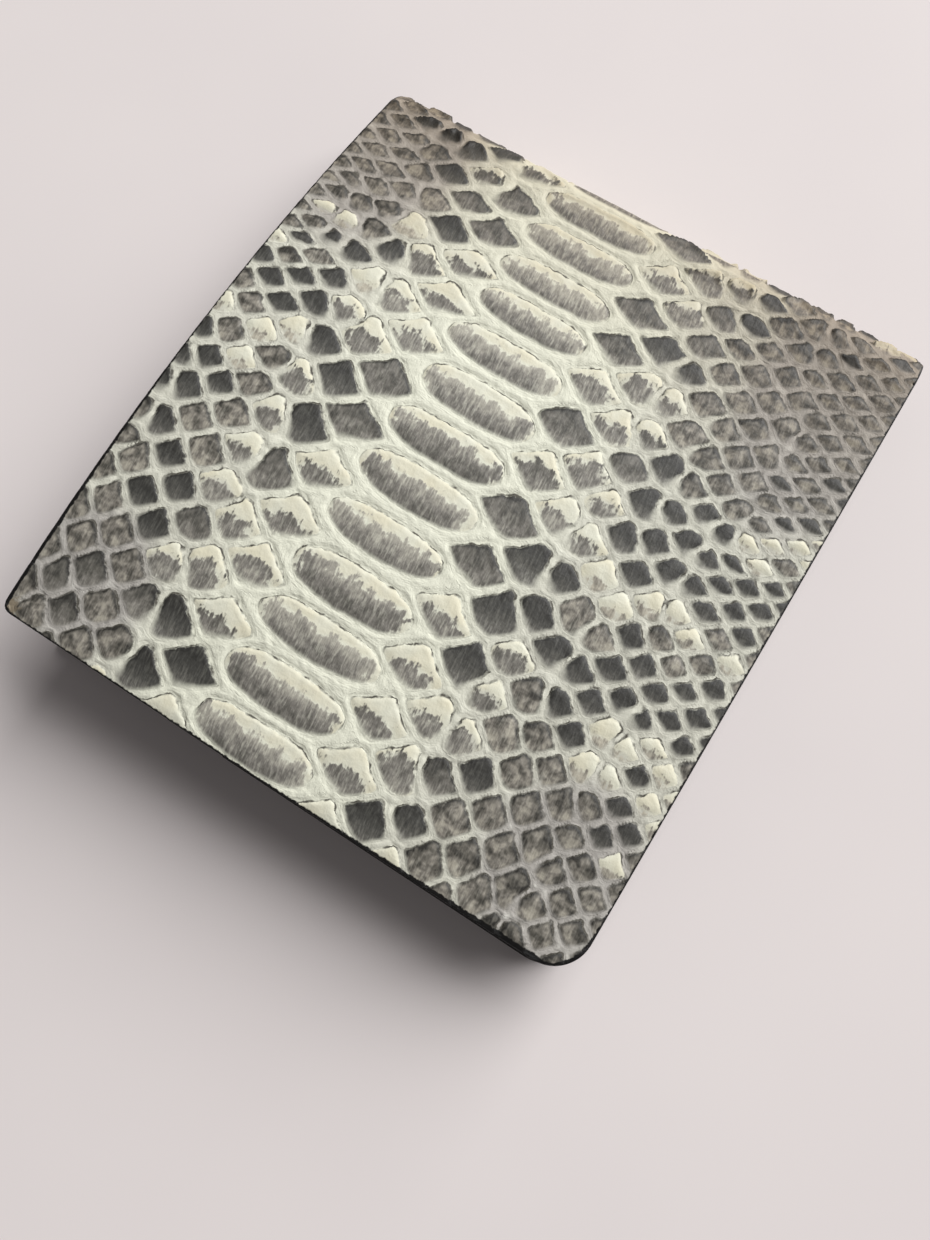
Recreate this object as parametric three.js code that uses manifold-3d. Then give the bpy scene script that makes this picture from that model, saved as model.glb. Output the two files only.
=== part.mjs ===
// Bifold wallet covered in natural python leather, closed and lying on its back half.
// Millimetres, +Z up. X runs from the rounded fold to the opening edge, Y runs along the fold, and the
// wallet stands on z = 0. One hide covers the back half, the fold and the front half. Every layer is a
// sheet that follows the hide, so each is given by its distance along the hide (run), its place along the
// fold (y) and its depth below the outer face.

import * as THREE from 'three';
import Module from 'manifold-3d';
import * as BufferGeometryUtils from 'three/addons/utils/BufferGeometryUtils.js';

const wasm = await Module();
wasm.setup();

// ---- driving dimensions -------------------------------------------------------------------------

const FOLD_LENGTH = 97; // along the spine
const FOLD_RADIUS = 6.5; // outer radius of the rounded fold
const FRONT_LENGTH = 102; // from the end of the fold to the opening edge, on the flat
const BACK_LENGTH = 103.7; // the fold has rolled towards the front, so the back half reaches further
const HALF_LENGTH = FOLD_LENGTH / 2;
const QUARTER_FOLD = FOLD_RADIUS * Math.PI / 2; // hide length of a quarter of the fold
const FRONT_EDGE = QUARTER_FOLD + FRONT_LENGTH; // run of the opening edge
const BACK_EDGE = -QUARTER_FOLD - BACK_LENGTH;

const SKIN = 0.9; // python leather
const LINING = 0.6; // thin black leather glued inside it
const GLUE_LINE = 0.3; // clearance between glued faces
const NOTE_GAP = 0.5; // empty note compartment
const POCKET_LEATHER = 0.6;
const POCKET_GAP = 0.3;

// The front half has sprung open and is warped. Its slope where it leaves the fold and the angle that it
// bends down by before its free edge change evenly from the near end of the fold to the far end.
const SLOPE_AT_NEAR_END = THREE.MathUtils.degToRad(13.5);
const SLOPE_AT_FAR_END = THREE.MathUtils.degToRad(2);
const BEND_AT_NEAR_END = THREE.MathUtils.degToRad(19);
const BEND_AT_FAR_END = THREE.MathUtils.degToRad(2);

const NEAR_CORNER_RADIUS = 1.5; // of the opening edge
const FAR_CORNER_RADIUS = 6;
const CORNER_STEPS = [0.75, 0.42, 0.16, 0]; // radii from the edge where a rounded corner has its points

const FOLD_CUT_ANGLE = Math.PI / 4; // where the fold turns over from one half to the spine strip
const FOLD_CUT_GAP = 0.15; // half of the gap at each cut

const PANEL_STEP = 17; // longest facet of a cover along its run
const FOLD_STEP = 2.6; // and round the fold
const POCKET_START = QUARTER_FOLD + 8; // run where the inside pockets begin, clear of the fold
const NOTE_WALL_DROP = 3; // the note wall's top edge below the cover's
const FIRST_MOUTH_DROP = 14; // mouth of the top card pocket below the cover's edge
const MOUTH_STEP = 11; // from one card mouth to the next
const FLUSH_INSET = 0.2;

// Scales: one row of long belly scales across the wallet, and rows of rhombic flank scales on both sides.
const BELLY_LINE = -6.3; // y of the middle of the belly row
const BELLY_HALF_LENGTH = 9.6;
const BELLY_RUNS = [3.7, 10.7, 17.7, 25.2, 32.2, 39.9, 48.2, 56.7, 64.9, 73.7, 82.7, 91.2, 100.2, 108.5];
const BELLY_PITCH_ON_BACK = 7.4;
const FIRST_ROW_DISTANCE = 13.6;
const FINAL_ROW_STEP = 3.1; // flank rows close up away from the belly
const ROW_STEP_EXCESS = 2.9;
const ROW_STEP_FADE = 3.3; // rows over which the excess falls to a third
// Runs where an extra scale is let in. One list for each flank row, the belly side first, near and far of it.
const EXTRA_SCALES = [
  { side: -1, rows: [[], [9], [32, 64, 98], [12, 24, 50], [10, 30], [34]] },
  { side: 1, rows: [[], [], [9, 28, 60, 90], [8], [44, 76], []] },
];
const EXTRA_REPEAT = 112; // the back half lets them in again this far along the hide
const RELAX_PASSES = 24; // that even out the gaps round an extra scale
const RELAX_SHARE = 0.4; // of the way to the middle of its neighbours that a scale moves in a pass
const RELAX_REACH = 2; // scales on each side of it that move
const ROUNDED_ROWS = 2; // flank rows next to the belly whose raised scales have a rounded end
const LATTICE_REACH = 150; // run on both sides of the fold that the lattice covers
const ROW_OVERLAP = 1.06; // half width of a flank scale, in steps from its row to the next
const SCALE_FILL = 0.8; // part of its cell that a scale fills
const SCALE_RISE = 0.35; // of the top of a scale over the hide
const SCALE_ROOT = 0.3; // how far a scale's solid reaches into the hide
const SCALE_TOP_SHRINK = 0.86;
const OUTLINE_MARGIN = 1; // between the raised scales and the wallet's outline

// The origin is under the middle of the closed wallet, so every layer is moved by this along X.
const MIDDLE_X = (BACK_LENGTH - FOLD_RADIUS - SCALE_RISE) / 2;

// ---- the shape that every layer follows -----------------------------------------------------------

/** Places a point of the wallet from its run along the hide, its y and its depth under the outer face. */
function hidePoint(run, y, depth) {
  const share = THREE.MathUtils.clamp((y + HALF_LENGTH) / FOLD_LENGTH, 0, 1);
  const slope = THREE.MathUtils.lerp(SLOPE_AT_NEAR_END, SLOPE_AT_FAR_END, share);
  const bend = THREE.MathUtils.lerp(BEND_AT_NEAR_END, BEND_AT_FAR_END, share);
  const foldEnd = FOLD_RADIUS * (Math.PI / 2 - slope);
  if (run < -QUARTER_FOLD) {
    return new THREE.Vector3(-run - QUARTER_FOLD, y, depth);
  }
  if (run <= foldEnd) {
    const turn = Math.PI / 2 + run / FOLD_RADIUS;
    const radius = FOLD_RADIUS - depth;
    return new THREE.Vector3(-radius * Math.sin(turn), y, FOLD_RADIUS - radius * Math.cos(turn));
  }
  const length = run - foldEnd;
  const curvature = bend / (FRONT_EDGE - foldEnd);
  const angle = slope - curvature * length;
  const startX = -FOLD_RADIUS * Math.sin(slope);
  const startZ = FOLD_RADIUS + FOLD_RADIUS * Math.cos(slope);
  const x = startX + (Math.sin(slope) - Math.sin(angle)) / curvature;
  const z = startZ + (Math.cos(angle) - Math.cos(slope)) / curvature;
  return new THREE.Vector3(x + depth * Math.sin(angle), y, z - depth * Math.cos(angle));
}

/** Lowest and highest y of the hide's outline at a run, with the rounded corners of the opening edge. */
function outlineAt(run, inset) {
  const distance = Math.abs((run > 0 ? FRONT_EDGE : BACK_EDGE) - run) - inset;
  const cornerCut = (radius) => {
    const inside = THREE.MathUtils.clamp(radius - distance, 0, radius);
    return radius - Math.sqrt(radius * radius - inside * inside);
  };
  return [
    -HALF_LENGTH + inset + cornerCut(NEAR_CORNER_RADIUS),
    HALF_LENGTH - inset - cornerCut(FAR_CORNER_RADIUS),
  ];
}

/** Runs from one value to another in steps no longer than a given one. */
function steps(from, to, longest) {
  const count = Math.max(1, Math.ceil(Math.abs(to - from) / longest - 1e-6));
  return Array.from({ length: count + 1 }, (_, i) => from + (to - from) * i / count);
}

/** Runs from a start to an opening edge. The last ones draw the rounded corners. */
function runsTo(start, edge) {
  const away = Math.sign(edge);
  const corner = edge - away * FAR_CORNER_RADIUS;
  const flat = steps(away * QUARTER_FOLD, corner, PANEL_STEP).filter((run) => away * (run - start) > 1);
  const rounded = CORNER_STEPS.map((share) => edge - away * share * FAR_CORNER_RADIUS);
  return [...flat, ...rounded];
}

/** A closed sheet between two depths, over a grid of runs and places across. */
function sheet(runs, outer, inner, rangeAt) {
  const across = runs.at(-1) > QUARTER_FOLD ? 2 : 1; // only the front half is warped
  const columns = across + 1;
  const positions = [];
  for (const depth of [outer, inner]) {
    for (const run of runs) {
      const [low, high] = rangeAt(run);
      for (let j = 0; j < columns; j += 1) {
        const point = hidePoint(run, low + (high - low) * j / across, depth);
        positions.push(point.x, point.y, point.z);
      }
    }
  }
  const layer = runs.length * columns;
  const index = [];
  const quad = (a, b, c, d) => index.push(a, b, c, a, c, d);
  const last = runs.length - 1;
  for (let i = 0; i < last; i += 1) {
    for (let j = 0; j < across; j += 1) {
      const a = i * columns + j;
      const b = a + columns;
      quad(a, b, b + 1, a + 1);
      quad(layer + a, layer + a + 1, layer + b + 1, layer + b);
    }
    const a = i * columns;
    quad(a, layer + a, layer + a + columns, a + columns);
    const e = a + across;
    quad(e, e + columns, layer + e + columns, layer + e);
  }
  for (let j = 0; j < across; j += 1) {
    quad(j, j + 1, layer + j + 1, layer + j);
    const k = last * columns + j;
    quad(k, layer + k, layer + k + 1, k + 1);
  }
  const geometry = new THREE.BufferGeometry();
  geometry.setAttribute('position', new THREE.Float32BufferAttribute(positions, 3));
  geometry.setIndex(index);
  return geometry;
}

// ---- solids and geometries ------------------------------------------------------------------------

/** Turns a closed geometry, which faces out or in all over, into a solid that faces out. */
function toSolid(geometry) {
  const bare = geometry.clone();
  bare.deleteAttribute('normal');
  bare.deleteAttribute('uv');
  const merged = BufferGeometryUtils.mergeVertices(bare, 1e-5);
  const position = merged.getAttribute('position').array;
  const triangles = Uint32Array.from(merged.getIndex().array);
  let volume = 0;
  const corner = (n) => new THREE.Vector3().fromArray(position, 3 * triangles[n]);
  for (let n = 0; n < triangles.length; n += 3) {
    volume += corner(n).dot(corner(n + 1).cross(corner(n + 2)));
  }
  if (volume < 0) {
    triangles.reverse();
  }
  const mesh = new wasm.Mesh({ numProp: 3, vertProperties: Float32Array.from(position), triVerts: triangles });
  return new wasm.Manifold(mesh);
}

/** Reads a solid back as a geometry with flat faces. */
function toGeometry(solid) {
  const mesh = solid.getMesh();
  const geometry = new THREE.BufferGeometry();
  geometry.setAttribute('position', new THREE.BufferAttribute(mesh.vertProperties, 3));
  geometry.setIndex(new THREE.BufferAttribute(mesh.triVerts, 1));
  return geometry;
}

// ---- the lattice of scales ------------------------------------------------------------------------

/** Places of the belly scales along the whole hide. */
function bellyRow() {
  const row = [...BELLY_RUNS];
  while (row[0] > -LATTICE_REACH) {
    row.unshift(row[0] - BELLY_PITCH_ON_BACK);
  }
  while (row.at(-1) < LATTICE_REACH) {
    row.push(2 * row.at(-1) - row.at(-2));
  }
  return row;
}

/** The next row out: its scales sit between the last row's, with extra ones let in at given runs. */
function nextRow(row, extraRuns) {
  const next = row.slice(1).map((run, i) => (run + row[i]) / 2);
  for (const run of extraRuns.flatMap((place) => [place - EXTRA_REPEAT, place])) {
    const spot = next.findLastIndex((other) => other <= run);
    next.splice(spot + 1, 0, (next[spot] + next[spot + 1]) / 2);
    const first = Math.max(1, spot - RELAX_REACH);
    const last = Math.min(next.length - 2, spot + 1 + RELAX_REACH);
    for (let pass = 0; pass < RELAX_PASSES; pass += 1) {
      for (let i = first; i <= last; i += 1) {
        next[i] += RELAX_SHARE * ((next[i - 1] + next[i + 1]) / 2 - next[i]);
      }
    }
  }
  return next;
}

/** Distance of a flank row from the belly line. */
function rowDistance(rank) {
  let distance = FIRST_ROW_DISTANCE;
  for (let k = 1; k < rank; k += 1) {
    distance += FINAL_ROW_STEP + ROW_STEP_EXCESS * Math.exp(-(k - 1) / ROW_STEP_FADE);
  }
  return distance;
}

/** Every raised scale: its middle, its half length and half width, and its form. */
function raisedScales() {
  const scales = [];
  const belly = bellyRow();
  for (let i = 1; i < belly.length - 1; i += 1) {
    const halfLength = (belly[i + 1] - belly[i - 1]) / 4;
    scales.push({ run: belly[i], y: BELLY_LINE, halfLength, halfWidth: BELLY_HALF_LENGTH, form: 'belly' });
  }
  for (const { side, rows } of EXTRA_SCALES) {
    let row = belly;
    rows.forEach((extraRuns, k) => {
      const rank = k + 1;
      row = nextRow(row, extraRuns);
      const halfWidth = (rowDistance(rank + 1) - rowDistance(rank)) * ROW_OVERLAP;
      const form = rank <= ROUNDED_ROWS ? 'rounded' : 'rhombic';
      for (let i = 1; i < row.length - 1; i += 1) {
        const halfLength = (row[i + 1] - row[i - 1]) / 4;
        const y = BELLY_LINE + side * rowDistance(rank);
        scales.push({ run: row[i], y, halfLength, halfWidth, form });
      }
    });
  }
  return scales;
}

// Corners of each form of scale, as shares of its half length and half width.
const SCALE_CORNERS = {
  belly: [[-0.9, -0.6], [0, -1], [0.9, -0.6], [0.9, 0.6], [0, 1], [-0.9, 0.6]],
  rounded: [[-1, 0], [-0.1, -1], [0.85, -0.28], [0.85, 0.28], [-0.1, 1]],
  rhombic: [[-1, 0], [0, -1], [1, 0], [0, 1]],
};

/** Outline of a scale, counter-clockwise from above. */
function scaleOutline({ run, y, halfLength, halfWidth, form }) {
  const a = halfLength * SCALE_FILL;
  const b = halfWidth * (form === 'belly' ? 1 : SCALE_FILL);
  return SCALE_CORNERS[form].map(([p, q]) => [run + p * a, y + q * b]);
}

/** A low pad on the hide, with sloping sides and its root sunk into the hide. */
function scalePad(outline) {
  const middle = outline.reduce((sum, [run, y]) => [sum[0] + run, sum[1] + y], [0, 0])
    .map((total) => total / outline.length);
  const ring = (shrink, depth) => outline.map(([run, y]) => hidePoint(
    middle[0] + (run - middle[0]) * shrink,
    middle[1] + (y - middle[1]) * shrink,
    depth,
  ));
  const rootShrink = 1 + (1 - SCALE_TOP_SHRINK) * SCALE_ROOT / SCALE_RISE;
  const points = [...ring(rootShrink, SCALE_ROOT), ...ring(SCALE_TOP_SHRINK, -SCALE_RISE)];
  const count = outline.length;
  const index = [];
  for (let i = 0; i < count; i += 1) {
    const j = (i + 1) % count;
    index.push(i, j, count + j, i, count + j, count + i);
  }
  for (let i = 1; i < count - 1; i += 1) {
    index.push(0, i + 1, i, count, count + i, count + i + 1);
  }
  const geometry = new THREE.BufferGeometry();
  geometry.setAttribute('position', new THREE.Float32BufferAttribute(points.flatMap((p) => p.toArray()), 3));
  geometry.setIndex(index);
  return toSolid(geometry);
}

/** Pads of the scales that lie inside the wallet's outline, and wholly between two runs. */
function scalePads(from, to) {
  const fits = ([run, y]) => {
    const [low, high] = outlineAt(run, OUTLINE_MARGIN);
    return run > from && run < to && y > low && y < high;
  };
  return raisedScales().map(scaleOutline).filter((outline) => outline.every(fits)).map(scalePad);
}

// ---- the pieces -----------------------------------------------------------------------------------

const PYTHON_LEATHER = { color: 0xb9b7ae, roughness: 0.42, metalness: 0 };
const BLACK_LEATHER = { color: 0x1c1a19, roughness: 0.6, metalness: 0 };

/** A named mesh with a finish of its own. */
function piece(name, geometry, finish) {
  const flat = geometry.toNonIndexed();
  flat.computeVertexNormals();
  const mesh = new THREE.Mesh(flat, new THREE.MeshStandardMaterial(finish));
  mesh.name = name;
  return mesh;
}

const foldCut = FOLD_RADIUS * FOLD_CUT_ANGLE; // run of the cuts, measured from the middle of the fold
const coverRange = (run) => outlineAt(run, 0);

/** Runs of one cover, from its cut in the fold to its opening edge. */
function coverRuns(edge) {
  const away = Math.sign(edge);
  const folded = steps(foldCut + FOLD_CUT_GAP, QUARTER_FOLD, FOLD_STEP).slice(0, -1).map((run) => away * run);
  return [...folded, ...runsTo(away * (QUARTER_FOLD - 2), edge)];
}

/** The python leather cover of one half. Only the front one has raised scales: the back one lies on them. */
function coverSkin(edge) {
  const runs = coverRuns(edge);
  const bare = toSolid(sheet(runs, 0, SKIN, coverRange));
  const pads = edge > 0 ? scalePads(runs[0] + OUTLINE_MARGIN, edge) : [];
  return toGeometry(pads.reduce((solid, pad) => solid.add(pad), bare));
}

/** The lining of one half, glued under its cover. */
function coverLining(edge) {
  const outer = SKIN + GLUE_LINE;
  return toGeometry(toSolid(sheet(coverRuns(edge), outer, outer + LINING, coverRange)));
}

/** A layer inside one half, with its mouth some way below the cover's edge. */
function insideLayer(edge, mouthDrop, outer) {
  const away = Math.sign(edge);
  const runs = [away * POCKET_START, ...runsTo(away * POCKET_START, edge - away * FLUSH_INSET)];
  const range = (run) => [-HALF_LENGTH + mouthDrop, outlineAt(run, FLUSH_INSET)[1]];
  return toGeometry(toSolid(sheet(runs, outer, outer + POCKET_LEATHER, range)));
}

/** The strip over the middle of the fold, between the two cuts, from one depth to another. */
function spineStrip(outer, inner) {
  const runs = steps(-foldCut + FOLD_CUT_GAP, foldCut - FOLD_CUT_GAP, FOLD_STEP);
  return toSolid(sheet(runs, outer, inner, coverRange));
}

/** The python leather over the middle of the fold. Scales that cross a cut end at it. */
function spineSkin() {
  const reach = foldCut + BELLY_PITCH_ON_BACK;
  const pads = scalePads(-reach, reach).reduce((solid, pad) => solid.add(pad));
  const clipped = pads.intersect(spineStrip(-2 * SCALE_RISE, SKIN));
  return toGeometry(spineStrip(0, SKIN).add(clipped));
}

const wallet = new THREE.Group();
wallet.position.x = -MIDDLE_X;

for (const [half, edge] of [['back', BACK_EDGE], ['front', FRONT_EDGE]]) {
  wallet.add(piece(`${half}_skin`, coverSkin(edge), PYTHON_LEATHER));
  wallet.add(piece(`${half}_lining`, coverLining(edge), BLACK_LEATHER));
  const wallDepth = SKIN + GLUE_LINE + LINING + NOTE_GAP;
  wallet.add(piece(`${half}_note_wall`, insideLayer(edge, NOTE_WALL_DROP, wallDepth), BLACK_LEATHER));
  ['top', 'middle', 'bottom'].forEach((place, i) => {
    const pocket = insideLayer(
      edge,
      FIRST_MOUTH_DROP + i * MOUTH_STEP,
      wallDepth + (i + 1) * (POCKET_LEATHER + POCKET_GAP),
    );
    wallet.add(piece(`${half}_card_pocket_${place}`, pocket, BLACK_LEATHER));
  });
}

const liningTop = SKIN + GLUE_LINE;
wallet.add(piece('spine_skin', spineSkin(), PYTHON_LEATHER));
wallet.add(piece('spine_lining', toGeometry(spineStrip(liningTop, liningTop + LINING)), BLACK_LEATHER));

export default wallet;
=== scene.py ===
"""Looks of a closed bifold wallet covered in natural python leather.

One hide runs round the back half, the fold and the front half. Everything on it is placed by its run (the
distance along the hide from the middle of the fold, towards the front half) and its place across (y, along
the fold). Both are in millimetres, and meshes are made in metres.
"""

from __future__ import annotations

import logging
import math
from collections.abc import Callable
from dataclasses import dataclass, field
from enum import Enum, IntEnum
from functools import partial
from types import SimpleNamespace

import bpy
import numpy as np
from mathutils import Matrix, Vector


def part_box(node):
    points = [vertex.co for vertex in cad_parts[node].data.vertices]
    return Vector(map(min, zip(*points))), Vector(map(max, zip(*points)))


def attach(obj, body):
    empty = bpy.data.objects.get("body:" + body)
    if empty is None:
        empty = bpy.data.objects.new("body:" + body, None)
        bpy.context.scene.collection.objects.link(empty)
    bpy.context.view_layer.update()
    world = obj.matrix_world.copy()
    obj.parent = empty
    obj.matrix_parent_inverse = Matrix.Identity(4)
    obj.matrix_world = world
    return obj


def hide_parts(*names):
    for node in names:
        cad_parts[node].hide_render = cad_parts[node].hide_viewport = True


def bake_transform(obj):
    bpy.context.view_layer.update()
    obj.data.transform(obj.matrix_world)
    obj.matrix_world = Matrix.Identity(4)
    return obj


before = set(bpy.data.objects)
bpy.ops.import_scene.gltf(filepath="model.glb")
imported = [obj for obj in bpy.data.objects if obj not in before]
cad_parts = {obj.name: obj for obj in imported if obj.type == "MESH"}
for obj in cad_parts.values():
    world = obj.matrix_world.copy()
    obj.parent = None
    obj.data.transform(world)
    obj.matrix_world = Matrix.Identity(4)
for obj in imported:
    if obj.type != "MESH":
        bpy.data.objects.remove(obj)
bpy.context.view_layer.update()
MM = 0.001
FAR = 3.0  # distances inside and outside the outlines of scales are cut off here, mm
SCRAMBLERS = (73856093, 19349663, 83492791, 2246822519, 3266489917)  # large factors, for random numbers
LOW_BITS = 0xFFFFFFFF

Adder = Callable[..., bpy.types.NodeSocket]  # add_node for one tree

log = logging.getLogger("wallet")


# ---- small tools ----------------------------------------------------------------------------------


def smooth(low: float | np.ndarray, high: float | np.ndarray, value: np.ndarray) -> np.ndarray:
    """Rises from 0 at low to 1 at high along 3t^2 - 2t^3.

    Args:
        low: Where the rise starts.
        high: Where the rise ends.
        value: The places to work it out for.

    Returns:
        The share of the rise at each place.
    """
    t = np.clip((value - low) / (high - low), 0.0, 1.0)
    return t * t * (3.0 - 2.0 * t)


class Hills(IntEnum):
    """The fields of random hills, by what they make uneven."""

    OUTLINE_SWAY = 3
    OUTLINE_JAG = 4
    TINT_START = 5
    TINT_REACH = 6
    DARK_END = 8
    DARK_END_CHOICE = 9
    LEAN = 10
    WRINKLE = 12
    WRINKLE_ON_SCALES = 13


def patchy(x: np.ndarray, y: np.ndarray, hills: Hills) -> np.ndarray:
    """Smooth random hills of unit size: each whole (x, y) has a random height, blended in between.

    Args:
        x: First coordinate, in hill widths.
        y: Second coordinate, in hill widths.
        hills: Which of the random fields.

    Returns:
        Heights from -1 to 1.
    """
    left, low = np.floor(x), np.floor(y)
    along, up = smooth(0.0, 1.0, x - left), smooth(0.0, 1.0, y - low)

    def height(column: np.ndarray, row: np.ndarray) -> np.ndarray:
        """Random height of one whole place, from a scrambled product of its numbers."""
        by_column, by_row, by_hills, first, second = SCRAMBLERS
        key = (column.astype(np.int64) + 4096) * by_column ^ (row.astype(np.int64) + 4096) * by_row
        key = (key ^ (int(hills) * by_hills)) & LOW_BITS
        key = (key ^ (key >> 15)) * first & LOW_BITS
        key = (key ^ (key >> 13)) * second & LOW_BITS
        return ((key ^ (key >> 16)) & 0xFFFF) / 32767.5 - 1.0

    bottom = height(left, low) * (1 - along) + height(left + 1, low) * along
    top = height(left, low + 1) * (1 - along) + height(left + 1, low + 1) * along
    return bottom * (1 - up) + top * up


def linear(hex_colour: str) -> tuple[float, float, float, float]:
    """Turns an sRGB hex colour to linear.

    Args:
        hex_colour: Six hex digits.

    Returns:
        Red, green, blue and an alpha of 1.
    """
    shares = [int(hex_colour[i : i + 2], 16) / 255 for i in (0, 2, 4)]
    red, green, blue = (s / 12.92 if s <= 0.04045 else ((s + 0.055) / 1.055) ** 2.4 for s in shares)
    return red, green, blue, 1.0


# ---- the form of the wallet -----------------------------------------------------------------------


@dataclass(frozen=True)
class HideForm:
    """The curved face that every layer of the wallet follows."""

    fold_length: float = 97.0
    fold_radius: float = 6.5
    front_length: float = 102.0
    back_length: float = 103.7
    near_slope: float = math.radians(13.5)
    far_slope: float = math.radians(2.0)
    near_bend: float = math.radians(19.0)
    far_bend: float = math.radians(2.0)
    near_corner: float = 1.5
    far_corner: float = 6.0

    @property
    def half(self) -> float:
        """Half of the length along the fold."""
        return self.fold_length / 2

    @property
    def quarter(self) -> float:
        """Hide length of a quarter of the fold."""
        return self.fold_radius * math.pi / 2

    @property
    def front_edge(self) -> float:
        """Run of the front half's opening edge."""
        return self.quarter + self.front_length

    @property
    def back_edge(self) -> float:
        """Run of the back half's opening edge."""
        return -self.quarter - self.back_length

    @property
    def middle(self) -> float:
        """How far the end of the fold's arc lies from the wallet's middle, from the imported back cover."""
        return self.back_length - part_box("back_skin")[1].x / MM

    def place(self, run: np.ndarray, across: np.ndarray, depth: np.ndarray) -> np.ndarray:
        """Points of the wallet.

        The back half is flat. The fold is a half circle. The front half leaves it at a slope and curves down
        by a bend before its edge. Slope and bend change evenly from the near end of the fold to the far end.

        Args:
            run: Distance along the hide.
            across: Place along the fold.
            depth: Depth under the outer face.

        Returns:
            Points in metres, in the last axis.
        """
        run, across, depth = np.broadcast_arrays(run, across, depth)
        share = np.clip((across + self.half) / self.fold_length, 0.0, 1.0)
        slope = self.near_slope + (self.far_slope - self.near_slope) * share
        bend = self.near_bend + (self.far_bend - self.near_bend) * share
        fold_end = self.fold_radius * (math.pi / 2 - slope)
        turn = math.pi / 2 + run / self.fold_radius
        radius = self.fold_radius - depth
        curvature = bend / (self.front_edge - fold_end)
        angle = slope - curvature * (run - fold_end)
        front_x = -self.fold_radius * np.sin(slope) + (np.sin(slope) - np.sin(angle)) / curvature
        front_z = self.fold_radius * (1 + np.cos(slope)) + (np.cos(angle) - np.cos(slope)) / curvature
        on_back, on_fold = run < -self.quarter, run <= fold_end
        x = np.where(on_fold, -radius * np.sin(turn), front_x + depth * np.sin(angle))
        z = np.where(on_fold, self.fold_radius - radius * np.cos(turn), front_z - depth * np.cos(angle))
        x = np.where(on_back, -run - self.quarter, x)
        z = np.where(on_back, depth, z)
        return np.stack([x - self.middle, across, z], axis=-1) * MM

    def outline(self, run: np.ndarray, inset: np.ndarray | float) -> tuple[np.ndarray, np.ndarray]:
        """Lowest and highest place across at a run: straight sides, with a quarter circle at each corner.

        Args:
            run: Distance along the hide.
            inset: How far inside the cover's own outline.

        Returns:
            The lowest and the highest place across.
        """
        distance = np.abs(np.where(run > 0, self.front_edge, self.back_edge) - run) - inset

        def cut(radius: float) -> np.ndarray:
            """What a rounded corner takes off, at this distance from the edge."""
            inside = np.clip(radius - distance, 0.0, radius)
            return radius - np.sqrt(radius * radius - inside * inside)

        return -self.half + inset + cut(self.near_corner), self.half - inset - cut(self.far_corner)

    def rim(self, run: np.ndarray, across: np.ndarray) -> np.ndarray:
        """Distance to the nearest edge of the cover.

        Args:
            run: Distance along the hide.
            across: Place along the fold.

        Returns:
            The distance at each place.
        """
        low, high = self.outline(run, 0.0)
        to_end = np.abs(np.where(run > 0, self.front_edge, self.back_edge) - run)
        return np.minimum(np.minimum(across - low, high - across), to_end)


# ---- scales and their colours ---------------------------------------------------------------------


class Tone(Enum):
    """Pigment of a scale: its darkness, the share of the scale that it covers, and how mottled it is."""

    CHARCOAL = (0.88, 1.6, 0.0)
    SMOKE = (0.75, 1.35, 0.35)
    ASH = (0.68, 1.6, 0.8)
    SMUDGE = (0.6, 0.55, 0.3)
    IVORY = (0.3, 0.3, 0.9)
    BELLY = (0.45, 0.7, 0.3)


@dataclass(frozen=True)
class Marks:
    """Scales that share a tone. Places are millimetres from the fold's crest and from the near edge.

    Each place marks the scale nearest to it. Each zone (place, then reach along and across) marks all in it.
    """

    tone: Tone
    places: tuple[tuple[float, float], ...] = ()
    zones: tuple[tuple[float, float, float, float], ...] = ()


MARKS = (
    Marks(Tone.ASH, zones=((14, 6, 21, 13.5), (98, 8, 12, 11), (97, 88, 15, 12), (16, 88, 25, 14.5))),
    Marks(
        Tone.CHARCOAL,
        places=(
            (2.5, 21), (1, 25), (36, 4), (42, 4), (35, 9), (40, 8.5), (46.5, 8), (34.5, 13), (40.5, 13.5),
            (45, 12), (33, 18), (46.5, 17), (44, 0), (16, 21), (22.5, 21), (19, 24.5), (51, 23), (60, 22.5),
            (57, 1), (63, 0.5), (68, 0), (61.5, 5), (69, 4.5), (76, 4.5), (66, 8), (73, 8), (80, 8.5),
            (77.5, 12.5), (85, 12.5), (97, 23), (102, 28.5), (105, 23), (20, 62), (22, 67), (60.5, 61.5),
            (69.5, 61.8), (78, 62), (104, 62), (59, 67), (66, 67), (98.5, 67), (1, 72.5), (4.5, 72.5),
            (9.5, 72.5), (36, 71.5), (43, 72), (69, 72), (89, 72), (95, 72), (79.5, 91), (84, 91), (89, 91),
            (86.5, 94), (7, 87), (1.5, 88), (4.5, 94), (30.5, 88), (36.5, 91), (34, 94), (27, 94),
            (27.5, 97), (11, 16),
        ),
        zones=((3.5, 14, 5.5, 6), (49, 84, 8.5, 13.5), (73.5, 82, 11.5, 8), (69, 94, 6.5, 4.5)),
    ),
    Marks(
        Tone.SMOKE,
        places=(
            (17, 29), (9.5, 29), (13, 25.5), (48, 28), (56, 28), (82.5, 17), (69.5, 22), (94.5, 8.5),
            (97, 4.5), (96, 17), (17, 56), (25, 56), (65, 56), (57, 56), (91.5, 67), (56.5, 72), (3.5, 55),
            (50, 12.5), (101, 8.5), (15, 67), (9, 67.5), (39, 67), (44, 56),
        ),
    ),
    Marks(
        Tone.IVORY,
        places=(
            (77.5, 84), (84.5, 85), (76.5, 88), (81.5, 88), (74.5, 91), (76.5, 94), (81.5, 94), (78, 97),
            (83, 97), (91, 95), (42, 88), (44.5, 91), (40.5, 92), (38, 94), (36, 97), (41, 97), (2.5, 91),
            (1, 95), (30, 3), (30, 10), (38, 1), (53, 3), (54.5, 8), (58.5, 8), (52, 13), (39, 17),
            (26.5, 17),
        ),
        zones=((58.5, 82, 2.2, 14),),
    ),
)
CREST_RUN = 3.7  # run of the line that the marks are measured from
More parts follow.
